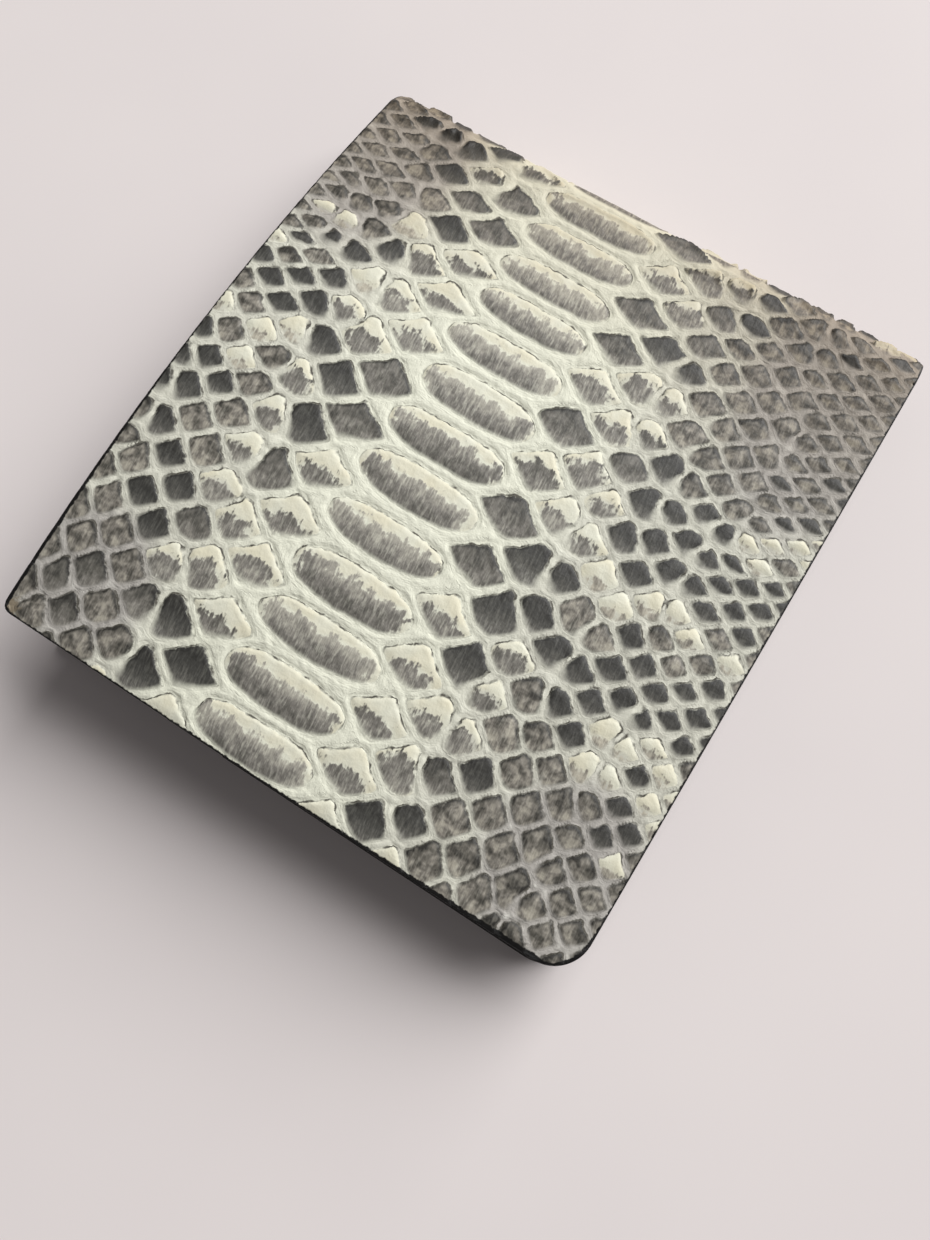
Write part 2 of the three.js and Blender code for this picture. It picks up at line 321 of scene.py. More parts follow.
ASH_ZONES = next(marks.zones for marks in MARKS if marks.tone is Tone.ASH)
HIDE_REPEAT = 112.0  # the back half repeats the front's marks and extra scales this far along the hide


def on_marks(run: np.ndarray, across: np.ndarray) -> tuple[np.ndarray, np.ndarray]:
    """Turns places on the hide to the ones that marks are given in.

    Args:
        run: Distance along the hide.
        across: Place along the fold.

    Returns:
        Distances from the fold's crest and from the near edge.
    """
    return run - CREST_RUN, across + HideForm.fold_length / 2


@dataclass
class ScaleField:
    """What the scales give at each point of the hide."""

    edge: np.ndarray  # distance inside the nearest scale's outline, mm
    free: np.ndarray  # 1 on the side where the scale's edge is free, 0 where it runs into the skin
    patch: np.ndarray  # distance inside the scale's patch of pigment, mm
    dark: np.ndarray
    mottled: np.ndarray
    lifted: np.ndarray  # how far the free edge stands up
    dome: np.ndarray  # 1 at the scale's middle, falling to 0 round it
    net: np.ndarray  # 0 where the skin between scales is cream, 1 where it is grey


@dataclass(frozen=True)
class ScaleShape:
    """Outline of one kind of scale, and how far single scales vary from it."""

    free_power: float  # of the outline formula on the free side
    fast_power: float  # and on the side that runs into the skin
    fill: float  # part of its cell that the scale fills
    free_power_vary: float = 0.1
    run_vary: float = 0.22
    across_vary: float = 0.2
    shear_vary: float = 0.09


BELLY_SHAPE = ScaleShape(3.0, 2.3, 0.77, free_power_vary=0.0, run_vary=0.1, across_vary=0.25, shear_vary=0.0)
INNER_SHAPE = ScaleShape(1.4, 2.1, 0.88)
OUTER_SHAPE = ScaleShape(1.6, 2.1, 0.86)


@dataclass(frozen=True)
class Brushwork:
    """Where the grey tint lies on each scale, and how dark it is there. Lengths are in mm."""

    least_cover: float = 0.02
    spot_long: float = 0.98  # reach of a flank scale's patch along it, where it covers the scale
    spot_wide: float = 0.42  # reach across for no cover, and how much it grows by for a full one
    spot_shift: float = 0.78  # how far the smallest patch sits towards the side that isn't free
    belly_start: float = 0.34  # where the tint of a belly scale starts, from its middle to its free side
    start_ragged: float = 0.5
    belly_reach: float = 9.0  # how far it reaches across
    reach_ragged: float = 0.6
    faint_start: float = 0.14  # how much lighter the tint is where it starts
    faint_fall: float = 0.11  # and how much less so for each mm inside
    lean_reach: float = 0.75  # part of a flank scale over which its tint fades from the free side
    lean: float = 0.1
    lean_if_dark: float = 0.2
    lean_vary: float = 0.06
    dark_from: float = 0.6
    dark_full: float = 0.85
    end_from: float = 5.4  # some belly scales are darker from here outwards
    end_full: float = 7.2
    end_ragged: float = 1.2
    end_dark: float = 0.16

    def patch(self, scale: dict[str, np.ndarray], run: np.ndarray, across: np.ndarray) -> np.ndarray:
        """Distance inside the tint: an ellipse on a flank scale, and all of a belly scale past a ragged line.

        Args:
            scale: What each point's scale is like, and the point's place on it.
            run: Distance along the hide.
            across: Place along the fold.

        Returns:
            The distance at each point.
        """
        u, v, long, wide = (scale[key] for key in ("u", "v", "long", "wide"))
        cover = np.clip(scale["cover"], self.least_cover, None)
        reach_u, reach_v = long * self.spot_long * cover, wide * (self.spot_wide + self.spot_wide * cover)
        centre_u = long * self.spot_shift * (1 - np.minimum(cover, 1.0))
        spot = (1 - np.hypot((u - centre_u) / reach_u, v / reach_v)) * np.minimum(reach_u, reach_v)
        ragged = self.start_ragged * patchy(run / 2.5, across / 1.7, Hills.TINT_START)
        reach = self.belly_reach + self.reach_ragged * patchy(run, across / 2, Hills.TINT_REACH)
        broad = np.minimum(u + self.belly_start * long + ragged, reach - np.abs(v))
        return np.where(scale["belly"] > 0.5, broad, spot)

    def dark(self, scale: dict[str, np.ndarray], patch: np.ndarray) -> np.ndarray:
        """Darkness of the tint, from 0 to 1.

        A flank scale is darkest at its free side. A belly scale is faint where its tint starts, and some are
        darker at an end.

        Args:
            scale: What each point's scale is like, and the point's place on it.
            patch: Distance inside the tint.

        Returns:
            The darkness at each point.
        """
        belly = scale["belly"] > 0.5
        side = np.sign(scale["v"])
        faint = belly * (self.faint_start - self.faint_fall * np.clip(patch, 0.0, FAR))
        lean = np.clip(scale["u"] / (scale["long"] * self.lean_reach), -1.0, 1.0)
        strength = self.lean + self.lean_if_dark * smooth(self.dark_from, self.dark_full, scale["dark"])
        strength = strength + self.lean_vary * patchy(scale["run"], scale["across"], Hills.LEAN)
        ragged = np.abs(scale["v"]) + self.end_ragged * patchy(scale["run"] / 3.0, side, Hills.DARK_END)
        end_dark = self.end_dark * (belly * smooth(self.end_from, self.end_full, ragged))
        has_end = patchy(scale["run"] / 9.0, 3 * side, Hills.DARK_END_CHOICE) > 0
        return np.clip(scale["dark"] - strength * lean * ~belly - faint + end_dark * has_end, 0, 1)


@dataclass(frozen=True)
class ScaleLattice:
    """One row of broad belly scales across the wallet, and rows of flank scales that shrink away from it."""

    belly_line: float = -6.3
    belly_runs: tuple[float, ...] = (
        3.7, 10.7, 17.7, 25.2, 32.2, 39.9, 48.2, 56.7, 64.9, 73.7, 82.7, 91.2, 100.2, 108.5,
    )
    back_pitch: float = 7.4
    belly_half_width: float = 12.4
    reach: float = 150.0
    first_distance: float = 13.6
    final_step: float = 3.1
    step_excess: float = 2.9
    step_fade: float = 3.3
    # Runs where an extra scale is let in, for each flank row near and far of the belly, the belly side first.
    near_extra: tuple[tuple[float, ...], ...] = (
        (), (9,), (32, 64, 98), (12, 24, 50), (10, 30), (34,), (72,), (),
    )
    far_extra: tuple[tuple[float, ...], ...] = (
        (), (), (9, 28, 60, 90), (8,), (44, 76), (), (8, 57), (5, 28, 40, 79, 99), (), (), (), (),
    )
    relax_passes: int = 24
    relax_share: float = 0.4
    relax_reach: int = 2
    inner_rows: int = 2  # flank rows next to the belly, with pointed scales
    smudged_rows: int = 3  # flank rows next to the belly whose scales are smudged unless they are marked
    widths: tuple[float, ...] = (1.0, 0.98, 0.93, 0.87)  # half width of each row's scales, in steps of rows
    nets: tuple[float, ...] = (1.5, 1.25, 1.05, 0.9, 0.79)  # width of the skin round each row's scales
    merge: float = 0.35  # how softly a scale's own outline meets the line between two scales
    # How far single scales vary.
    size_vary: float = 0.05
    fast_power_vary: float = 0.15
    fill_vary: float = 0.03
    net_vary: float = 0.15
    dark_vary: float = 0.09
    cover_vary: float = 0.12
    marked_vary: float = 0.5  # of the others' dark_vary, for the scales that are marked
    lifted_power: int = 3  # few free edges stand far up
    # The free side, as shares of half a scale from its middle: where it starts, and where it is free.
    free_from: float = 0.35
    free_full: float = -0.3
    # Waves of the outline: their width and height.
    sway_width: float = 2.3
    sway: float = 0.14
    jag_width: float = 0.75
    jag: float = 0.04
    jag_if_free: float = 0.1
    least_value: float = 0.05  # keeps the outline's steepness finite at a scale's middle
    least_steepness: float = 0.02
    # Grey of the skin between scales: how far from the belly it begins and is full, and how grey it is.
    grey_from: float = 13.0
    grey_full: float = 27.0
    grey: float = 0.35
    grey_if_mottled: float = 0.55
    zone_fade: tuple[float, float] = (1.15, 0.7)  # where a mottled zone begins and is full, in its reaches
    seed: int = 7
    brushwork: Brushwork = Brushwork()

    def belly_row(self) -> list[float]:
        """Runs of the belly scales along the whole hide."""
        row = list(self.belly_runs)
        while row[0] > -self.reach:
            row.insert(0, row[0] - self.back_pitch)
        while row[-1] < self.reach:
            row.append(2 * row[-1] - row[-2])
        return row

    def next_row(self, row: list[float], extra: tuple[float, ...]) -> list[float]:
        """The next row out: its scales sit between the last row's, and extra ones are let in.

        Args:
            row: Runs of the last row.
            extra: Runs where a scale is let in.

        Returns:
            Runs of the next row.
        """
        following = [(a + b) / 2 for a, b in zip(row[1:], row[:-1])]
        for run in (place - back for place in extra for back in (HIDE_REPEAT, 0.0)):
            spot = max(i for i, other in enumerate(following) if other <= run)
            following.insert(spot + 1, (following[spot] + following[spot + 1]) / 2)
            first = max(1, spot - self.relax_reach)
            last = min(len(following) - 2, spot + 1 + self.relax_reach)
            for _ in range(self.relax_passes):
                for i in range(first, last + 1):
                    between = (following[i - 1] + following[i + 1]) / 2
                    following[i] += self.relax_share * (between - following[i])
        return following

    def distance(self, rank: int) -> float:
        """Distance of a flank row from the belly line: each step is shorter than the last.

        Args:
            rank: The row, from 1.

        Returns:
            Its distance.
        """
        fades = (math.exp(-(k - 1) / self.step_fade) for k in range(1, rank))
        return self.first_distance + sum(self.final_step + self.step_excess * fade for fade in fades)

    def rows(self) -> list[dict[str, np.ndarray]]:
        """Every row of scales, with what shapes and colours each scale.

        Returns:
            For each row, arrays of the scales' runs and places across, half sizes, outlines and tones.
        """
        chance = np.random.default_rng(self.seed)
        rows = [self.row(self.belly_row(), 0, 0, chance)]
        for side, extras in ((-1, self.near_extra), (1, self.far_extra)):
            runs = self.belly_row()
            for rank, extra in enumerate(extras, start=1):
                runs = self.next_row(runs, extra)
                rows.append(self.row(runs, rank, side, chance))
        self.colour(rows)
        return rows

    def row(
        self, runs: list[float], rank: int, side: int, chance: np.random.Generator
    ) -> dict[str, np.ndarray]:
        """One row of scales.

        Args:
            runs: Where they are along the hide.
            rank: Its place from the belly, which is 0.
            side: -1 near of the belly, 1 far of it.
            chance: Where small differences between scales come from.

        Returns:
            Arrays for the row.
        """
        places = np.array(runs)
        count = len(places)
        by_run, by_across, by_long, by_wide, by_cover, by_net, by_fill, by_shear, by_dark = chance.uniform(
            -1.0, 1.0, (9, count)
        )
        belly = rank == 0
        shape = BELLY_SHAPE if belly else INNER_SHAPE if rank <= self.inner_rows else OUTER_SHAPE
        tone = Tone.BELLY if belly else Tone.SMUDGE if rank <= self.smudged_rows else Tone.ASH
        dark, cover, mottled = tone.value
        step = self.distance(rank + 1) - self.distance(rank)
        wide = self.belly_half_width if belly else step * self.widths[min(rank, len(self.widths) - 1)]
        across = self.belly_line + side * (0.0 if belly else self.distance(rank))
        net = self.nets[min(rank, len(self.nets) - 1)]
        return {
            "belly": np.full(count, belly),
            "run": places + by_run * shape.run_vary,
            "across": across + by_across * shape.across_vary,
            "long": np.gradient(places) / 2 * (1.0 + self.size_vary * by_long),
            "wide": wide * (1.0 + self.size_vary * by_wide),
            "free_power": shape.free_power + shape.free_power_vary * by_cover,
            "fast_power": shape.fast_power + self.fast_power_vary * by_net,
            "fill": shape.fill + self.fill_vary * by_fill,
            "net": net * (1.0 + self.net_vary * by_net),
            "shear": shape.shear_vary * by_shear,
            "dark": dark + self.dark_vary * by_dark,
            "cover": cover + self.cover_vary * by_cover,
            "mottled": np.full(count, mottled),
            "lifted": np.clip(0.5 + 0.5 * by_fill, 0.0, 1.0) ** self.lifted_power,
        }

    def colour(self, rows: list[dict[str, np.ndarray]]) -> None:
        """Gives the marked scales their tones, on the front half and again on the back.

        Args:
            rows: The rows of scales, whose tones are set.
        """
        flanks = rows[1:]
        keys = ("run", "across", "dark", "cover", "mottled")
        tones = {key: np.concatenate([row[key] for row in flanks]) for key in keys}
        from_crest, from_near = on_marks(tones.pop("run"), tones.pop("across"))
        vary = np.clip(tones["dark"] - np.mean(tones["dark"]), -self.dark_vary, self.dark_vary)
        for marks in MARKS:
            chosen = np.zeros(len(from_crest), bool)
            for shift in (0.0, HIDE_REPEAT):
                for run, y in marks.places:
                    chosen[np.argmin(np.hypot(from_crest - run + shift, from_near - y))] = True
                for run, y, along, up in marks.zones:
                    chosen |= ((from_crest - run + shift) / along) ** 2 + ((from_near - y) / up) ** 2 < 1
            dark, cover, mottled = marks.tone.value
            tones["dark"][chosen] = dark + self.marked_vary * vary[chosen]
            tones["cover"][chosen] = cover
            tones["mottled"][chosen] = mottled
        ends = np.cumsum([len(row["run"]) for row in flanks])
        for key, values in tones.items():
            for row, part in zip(flanks, np.split(values, ends[:-1])):
                row[key] = part

    def field(self, run: np.ndarray, across: np.ndarray) -> ScaleField:
        """Finds the nearest scale of each point, and what it gives there.

        A scale's outline is |u/long|^p + |v/wide|^p = fill^p, with a low power p on its free side, which
        gives straight sides and a point, and a higher one on the other, which gives a round end. The point
        belongs to the scale whose value, the p-th root of the left side, is lowest.

        Args:
            run: Distance along the hide.
            across: Place along the fold.

        Returns:
            The field at each point.
        """
        best, second = np.full(run.shape, np.inf), np.full(run.shape, np.inf)
        rows = self.rows()
        scale = {key: np.zeros(run.shape) for key in (*rows[0], "u", "v", "power")}
        for row in rows:
            order = np.clip(np.searchsorted(row["run"], run), 1, len(row["run"]) - 2)
            for offset in (-1, 0, 1):
                other = {key: values[order + offset] for key, values in row.items()}
                v = across - other["across"]
                u = run - other["run"] + other["shear"] * v
                power = np.where(u < 0, other["free_power"], other["fast_power"])
                value = np.abs(u / other["long"]) ** power + np.abs(v / other["wide"]) ** power
                value = value ** (1 / power)
                nearer = value < best
                second = np.where(nearer, best, np.minimum(second, value))
                best = np.where(nearer, value, best)
                for key, values in (*other.items(), ("u", u), ("v", v), ("power", power)):
                    scale[key] = np.where(nearer, values, scale[key])
        free = smooth(self.free_from, self.free_full, scale["u"] / scale["long"])
        patch = self.brushwork.patch(scale, run, across)
        return ScaleField(
            edge=self.edge(best, second, scale, free, run, across),
            free=free,
            patch=np.clip(patch, -FAR, FAR),
            dark=self.brushwork.dark(scale, patch),
            mottled=scale["mottled"],
            lifted=scale["lifted"],
            dome=np.clip(1 - (scale["u"] / scale["long"]) ** 2 - (scale["v"] / scale["wide"]) ** 2, 0.0, 1.0),
            net=self.net_grey(run, across),
        )

    def edge(
        self,
        value: np.ndarray,
        second: np.ndarray,
        scale: dict[str, np.ndarray],
        free: np.ndarray,
        run: np.ndarray,
        across: np.ndarray,
    ) -> np.ndarray:
        """Distance inside a scale's outline: the value's difference from the fill, over the value's slope.

        The line midway to the next scale, less half of the skin between the two, cuts the outline off. The
        two are merged softly, and waves push the result about.

        Args:
            value: The outline formula's value.
            second: Its value for the next nearest scale.
            scale: What each point's scale is like, and the point's place on it.
            free: 1 on the scale's free side.
            run: Distance along the hide.
            across: Place along the fold.

        Returns:
            The distance at each point.
        """
        power = scale["power"]
        base = np.maximum(value, self.least_value)
        slope_u = np.abs(scale["u"] / scale["long"]) ** (power - 1) / scale["long"] * base ** (1 - power)
        slope_v = np.abs(scale["v"] / scale["wide"]) ** (power - 1) / scale["wide"] * base ** (1 - power)
        steepness = np.maximum(np.hypot(slope_u, slope_v), self.least_steepness)
        own = (scale["fill"] - value) / steepness
        apart = (second - value) / (2 * steepness) - scale["net"] / 2
        overlap = np.maximum(self.merge - np.abs(own - apart), 0.0)
        edge = np.minimum(own, apart) - overlap**2 / (4 * self.merge)
        sway = self.sway * patchy(run / self.sway_width, across / self.sway_width, Hills.OUTLINE_SWAY)
        jag = patchy(run / self.jag_width, across / self.jag_width, Hills.OUTLINE_JAG)
        return np.clip(edge + sway + (self.jag + self.jag_if_free * free) * jag, -FAR, FAR)

    def net_grey(self, run: np.ndarray, across: np.ndarray) -> np.ndarray:
        """Grey of the skin between scales: none at the belly, some on the flanks, and more in mottled zones.

        Args:
            run: Distance along the hide.
            across: Place along the fold.

        Returns:
            The grey at each point, from 0 to 1.
        """
        from_crest, from_near = on_marks(run, across)
        mottled = np.zeros(run.shape)
        for centre, y, along, up in ASH_ZONES:
            for shift in (0.0, HIDE_REPEAT):
                off = np.hypot((from_crest - centre + shift) / along, (from_near - y) / up)
                mottled = np.maximum(mottled, smooth(*self.zone_fade, off))
        flank = smooth(self.grey_from, self.grey_full, np.abs(across - self.belly_line))
        return flank * (self.grey + self.grey_if_mottled * mottled)


@dataclass(frozen=True)
class HideRelief:
    """How scales stand over the skin, in mm."""

    pillow: float = 0.08
    pillow_width: float = 0.5
    pillow_outside: float = 0.1  # how far outside a scale's edge its pillow begins
    slow_rise: float = 3.0  # how many times as wide the pillow's rise is at the side that isn't free
    crown: float = 0.17
    lip: float = 0.05
    lip_least: float = 0.5  # part of the lip that every scale has
    lip_if_lifted: float = 1.2  # and what lifted ones have more
    lip_width: float = 0.55
    lip_step: float = 0.12
    fold_lift: float = 12.0  # how many times as high the free edges stand where the hide bends
    fold_lift_full: float = 8.0  # run up to which they do
    fold_lift_end: float = 13.0
    groove: float = 0.14
    groove_width: float = 0.35
    groove_off: float = 0.22  # from the edge to the groove's middle
    groove_ends: tuple[float, float] = (0.25, -0.05)  # inside the edge it is filled, outside it is open
    net_ridge: float = 0.13
    net_rise: tuple[float, float] = (0.1, 0.75)  # distances from the scale over which the net's ridge rises
    wrinkle: float = 0.07
    wrinkle_ends: tuple[float, float] = (0.2, -0.4)
    wrinkle_on_scales: float = 0.4  # part of it that runs over the scales too
    deepest: float = -0.2
    highest: float = 0.8
    sink_on_back: float = 0.35
    ease_at_rim: float = 1.6
    least_at_rim: float = 0.25

    def height(self, field: ScaleField, run: np.ndarray, across: np.ndarray) -> np.ndarray:
        """Height over the skin.

        A scale is a low pillow that rises over its rim, fast at its free edge and slowly at the other, and
        has a dome. Its free edge has a lip, with a groove outside it. The skin between scales is a soft ridge
        with wrinkles.

        Args:
            field: The scales at each point.
            run: Distance along the hide.
            across: Place along the fold.

        Returns:
            The height at each point.
        """
        inside, outside = np.maximum(field.edge, 0.0), np.maximum(-field.edge, 0.0)
        rise = self.pillow_width * (self.slow_rise - (self.slow_rise - 1) * field.free)
        pillow = self.pillow * smooth(-self.pillow_outside, rise, field.edge)
        lip = self.lip * (self.lip_least + self.lip_if_lifted * field.lifted) * field.free
        lip = lip * np.exp(-((inside / self.lip_width) ** 2))
        lip = lip * smooth(-self.lip_step, self.lip_step, field.edge)
        lip = lip * (1 + (self.fold_lift - 1) * smooth(self.fold_lift_end, self.fold_lift_full, np.abs(run)))
        groove = self.groove * field.free * np.exp(-(((outside - self.groove_off) / self.groove_width) ** 2))
        groove = groove * smooth(*self.groove_ends, field.edge)
        ridge = self.net_ridge * smooth(*self.net_rise, outside)
        slanted = patchy(run / 1.1 + across / 1.6, across / 0.9 - run / 1.4, Hills.WRINKLE)
        wrinkle = self.wrinkle * slanted * smooth(*self.wrinkle_ends, field.edge)
        everywhere = patchy(run / 1.7, across / 0.7, Hills.WRINKLE_ON_SCALES)
        wrinkle += self.wrinkle_on_scales * self.wrinkle * everywhere
        height = pillow + self.crown * field.dome + lip - groove + ridge + wrinkle
        return np.clip(height, self.deepest, self.highest)

    def sink(self, run: np.ndarray, form: HideForm) -> np.ndarray:
        """How far the skin lies under the cover's nominal face: the back half rests on its scales."""
        return self.sink_on_back * smooth(0.0, -form.quarter, run)


# ---- meshes ---------------------------------------------------------------------------------------


def make_object(
    name: str, points: np.ndarray, faces: list[list[int]], smooth_faces: bool = True
) -> bpy.types.Object:
    """Makes a mesh object at the origin, with its faces turned outwards.

    Args:
        name: The piece's name.
        points: Its points, in metres.
        faces: Indices of each face's corners.
        smooth_faces: Whether the faces are shaded smooth.

    Returns:
        The linked object.
    """
    mesh = bpy.data.meshes.new(name)
    mesh.from_pydata(points.reshape(-1, 3).tolist(), [], faces)
    mesh.validate()
    mesh.polygons.foreach_set("use_smooth", np.full(len(mesh.polygons), smooth_faces))
    mesh.update()
    piece = bpy.data.objects.new(name, mesh)
    bpy.context.scene.collection.objects.link(piece)
    return piece


def keep_attribute(piece: bpy.types.Object, name: str, columns: tuple[np.ndarray, ...]) -> None:
    """Keeps three numbers for each vertex, for the materials to read.

    Args:
        piece: The mesh object.
        name: The attribute's name.
        columns: The three numbers, each an array over the vertices.
    """
    attribute = piece.data.attributes.new(name, "FLOAT_VECTOR", "POINT")
    attribute.data.foreach_set("vector", np.stack(columns, axis=-1).astype(np.float32).ravel())


@dataclass(frozen=True)
class LeatherSheet:
    """A sheet that follows the hide between two runs, with rolled edges where it ends free."""

    name: str
    start: float
    end: float
    outer: float
    inner: float
    spacing: float
    roll: float = 0.22
    inset: float = 0.0
    mouth_drop: float = 0.0
    start_free: bool = False
    end_free: bool = True
    roll_steps: tuple[float, ...] = (0.5, 1.0)
    corner_lines: int = 10  # more grid lines in a rounded corner
    ring_mark: float = -0.1  # distance to the rim that the first ring is marked with, as it lies outside it
    form: HideForm = field(default_factory=HideForm)

    @property
    def flipped(self) -> bool:
        """Whether the sheet runs towards the back half, where the outside is below."""
        return self.end < self.start

    def shares(self) -> tuple[np.ndarray, np.ndarray]:
        """Grid lines along and across, from 0 to 1, closer together in a rounded corner."""
        length = abs(self.end - self.start)
        along = np.linspace(0.0, 1.0, max(2, round(length / self.spacing) + 1))
        if self.end_free:
            turns = np.linspace(0, math.pi / 2, self.corner_lines + 2)[1:-1]
            corner = 1 - self.form.far_corner / length * (1 - np.cos(turns))
            along = np.unique(np.concatenate([along, corner]))
        across = np.linspace(0.0, 1.0, max(2, round(self.form.fold_length / self.spacing) + 1))
        return along, across

    def spots(
        self, along: np.ndarray, across: np.ndarray, inset: np.ndarray | float
    ) -> tuple[np.ndarray, np.ndarray]:
        """Runs and places across of grid shares.

        Args:
            along: Shares of the way from start to end.
            across: Shares of the way across.
            inset: How far inside the sheet's own outline.

        Returns:
            The runs and the places across.
        """
        way = -1.0 if self.flipped else 1.0
        first = self.start + way * inset * self.start_free
        last = self.end - way * inset * self.end_free
        run = first + (last - first) * along
        low, high = self.form.outline(run, self.inset + inset)
        low = np.where(self.mouth_drop > 0, -self.form.half + self.mouth_drop + inset, low)
        return run, low + (high - low) * across

    def loop(self, rows: int, columns: int) -> np.ndarray:
        """Grid indices of the perimeter, once round."""
        grid = np.arange(rows * columns).reshape(rows, columns)
        return np.concatenate([grid[:-1, 0], grid[-1, :-1], grid[:0:-1, -1], grid[0, :0:-1]])

    def build(self, relief: Callable[[np.ndarray, np.ndarray], np.ndarray] | None = None) -> bpy.types.Object:
        """Makes the closed sheet.

        The outer face is a grid. Round it, rings follow a quarter circle down to the wall and another one in
        to the inner face, which is laid with long faces from one side to the other.

        Args:
            relief: Depth of the outer face at each run and place across, if it isn't even.

        Returns:
            The object, with each vertex's run and place across as its attribute "spot".
        """
        along, across = (axis.ravel() for axis in np.meshgrid(*self.shares(), indexing="ij"))
        rows, columns = len(self.shares()[0]), len(self.shares()[1])
        run, y = self.spots(along, across, self.roll)
        depth = np.full(run.shape, self.outer) if relief is None else self.outer + relief(run, y)
        loop = self.loop(rows, columns)
        turns = [step * math.pi / 2 for step in self.roll_steps]
        profile = [(1 - math.sin(t), self.outer + self.roll * (1 - math.cos(t))) for t in turns]
        profile += [(1 - math.cos(t), self.inner - self.roll * (1 - math.sin(t))) for t in (0.0, *turns)]
        runs, places, depths, rims = [run], [y], [depth], [self.form.rim(run, y)]
        for number, (share, level) in enumerate(profile):
            ring_run, ring_y = self.spots(along[loop], across[loop], self.roll * share)
            ease = max(0.0, 1 - (number + 1) / (len(self.roll_steps) + 1))
            runs.append(ring_run)
            places.append(ring_y)
            depths.append(level + (depth[loop] - self.outer) * ease)
            rims.append(np.full(len(loop), self.ring_mark * (number + 1)))
        run, y, depth, rim = (np.concatenate(parts) for parts in (runs, places, depths, rims))
        faces = self.faces(rows, columns, loop, len(profile))
        piece = make_object(self.name, self.form.place(run, y, depth), faces)
        keep_attribute(piece, "spot", (run, y, rim))
        self.sharpen_cuts(piece, rows, columns)
        return piece

    def sharpen_cuts(self, piece: bpy.types.Object, rows: int, columns: int) -> None:
        """Keeps the walls where the sheet is cut out of the outer face's shading, so that pieces join unseen.

        Args:
            piece: The sheet.
            rows: Grid lines along.
            columns: Grid lines across.
        """
        line = np.full(len(piece.data.vertices), -1)
        if not self.start_free:
            line[:columns] = 0
        if not self.end_free:
            line[(rows - 1) * columns : rows * columns] = 1
        corners = np.zeros(2 * len(piece.data.edges), np.int32)
        piece.data.edges.foreach_get("vertices", corners)
        first, second = line[corners.reshape(-1, 2)].T
        piece.data.edges.foreach_set("use_edge_sharp", (first == second) & (first >= 0))

    def faces(self, rows: int, columns: int, loop: np.ndarray, rings: int) -> list[list[int]]:
        """Corner indices of every face: the outer grid, the rings and the inner face.

        Args:
            rows: Grid lines along.
            columns: Grid lines across.
            loop: Perimeter of the grid.
            rings: Number of rings round it.

        Returns:
            A list of faces.
        """
        grid = np.arange(rows * columns).reshape(rows, columns)
        a, b, c, d = grid[:-1, :-1], grid[1:, :-1], grid[1:, 1:], grid[:-1, 1:]
        faces = [np.stack([a, b, c, d], axis=-1).reshape(-1, 4)]
        count = len(loop)
        lines = [loop, *(rows * columns + count * k + np.arange(count) for k in range(rings))]
        for upper, lower in zip(lines[:-1], lines[1:]):
            faces.append(np.stack([upper, lower, np.roll(lower, -1), np.roll(upper, -1)], axis=-1))
        last = lines[-1]
        near = last[:rows]
        far = last[rows + columns - 2 : 2 * rows + columns - 2][::-1]
        faces.append(np.stack([near[1:-2], far[1:-2], far[2:-1], near[2:-1]], axis=-1))
        end_line = last[rows - 1 : rows + columns - 1]
        start_line = np.append(last[2 * rows + columns - 3 :], last[0])
        closing = [
            [near[-2], far[-2], *end_line[::-1]],
            [near[1], *start_line[::-1], far[1]],
        ]
        everything = [face for block in faces for face in block.tolist()]
        everything += [[int(corner) for corner in face] for face in closing]
        return [face[::-1] for face in everything] if self.flipped else everything


# ---- finishes -------------------------------------------------------------------------------------


# Settings of the nodes.
ADD = {"operation": "ADD"}
SUBTRACT = {"operation": "SUBTRACT"}
MULTIPLY = {"operation": "MULTIPLY"}
MULTIPLY_ADD = {"operation": "MULTIPLY_ADD"}
MAXIMUM = {"operation": "MAXIMUM"}
ABSOLUTE = {"operation": "ABSOLUTE"}
LENGTH = {"operation": "LENGTH"}
LINEAR = {"interpolation_type": "LINEAR"}
SMOOTH = {"interpolation_type": "SMOOTHSTEP"}
BLEND = {"data_type": "RGBA"}
BLEND_BY_PRODUCT = {"data_type": "RGBA", "blend_type": "MULTIPLY"}
SPREAD = (0.3, 0.7)  # most of a noise's values lie between these


def add_node(
    tree: bpy.types.NodeTree,
    kind: str,
    settings: dict[str, str],
    inputs: dict[int | str, object] | tuple[object, ...],
    output: int | str = 0,
) -> bpy.types.NodeSocket:
    """Adds a node with its settings and links.

    Args:
        tree: Where it goes.
        kind: Blender's name of the node, without its ShaderNode.
        settings: The node's own properties.
        inputs: A value or a linked output for each socket, by socket, or in order from the first one.
        output: Which of the node's outputs is wanted.

    Returns:
        The output.
    """
    node = tree.nodes.new(f"ShaderNode{kind}")
    for key, value in settings.items():
        setattr(node, key, value)
    for key, value in inputs.items() if isinstance(inputs, dict) else enumerate(inputs):
        if isinstance(value, bpy.types.NodeSocket):
            tree.links.new(value, node.inputs[key])
        else:
            node.inputs[key].default_value = value
    return node.outputs[output]


def new_material(name: str) -> tuple[bpy.types.Material, bpy.types.NodeTree, bpy.types.Node]:
    """A material with only its shader.

    Args:
        name: The material's name.

    Returns:
        The material, its node tree and its Principled shader.
    """
    material = bpy.data.materials.new(name)
    material.use_nodes = True
    return material, material.node_tree, material.node_tree.nodes["Principled BSDF"]


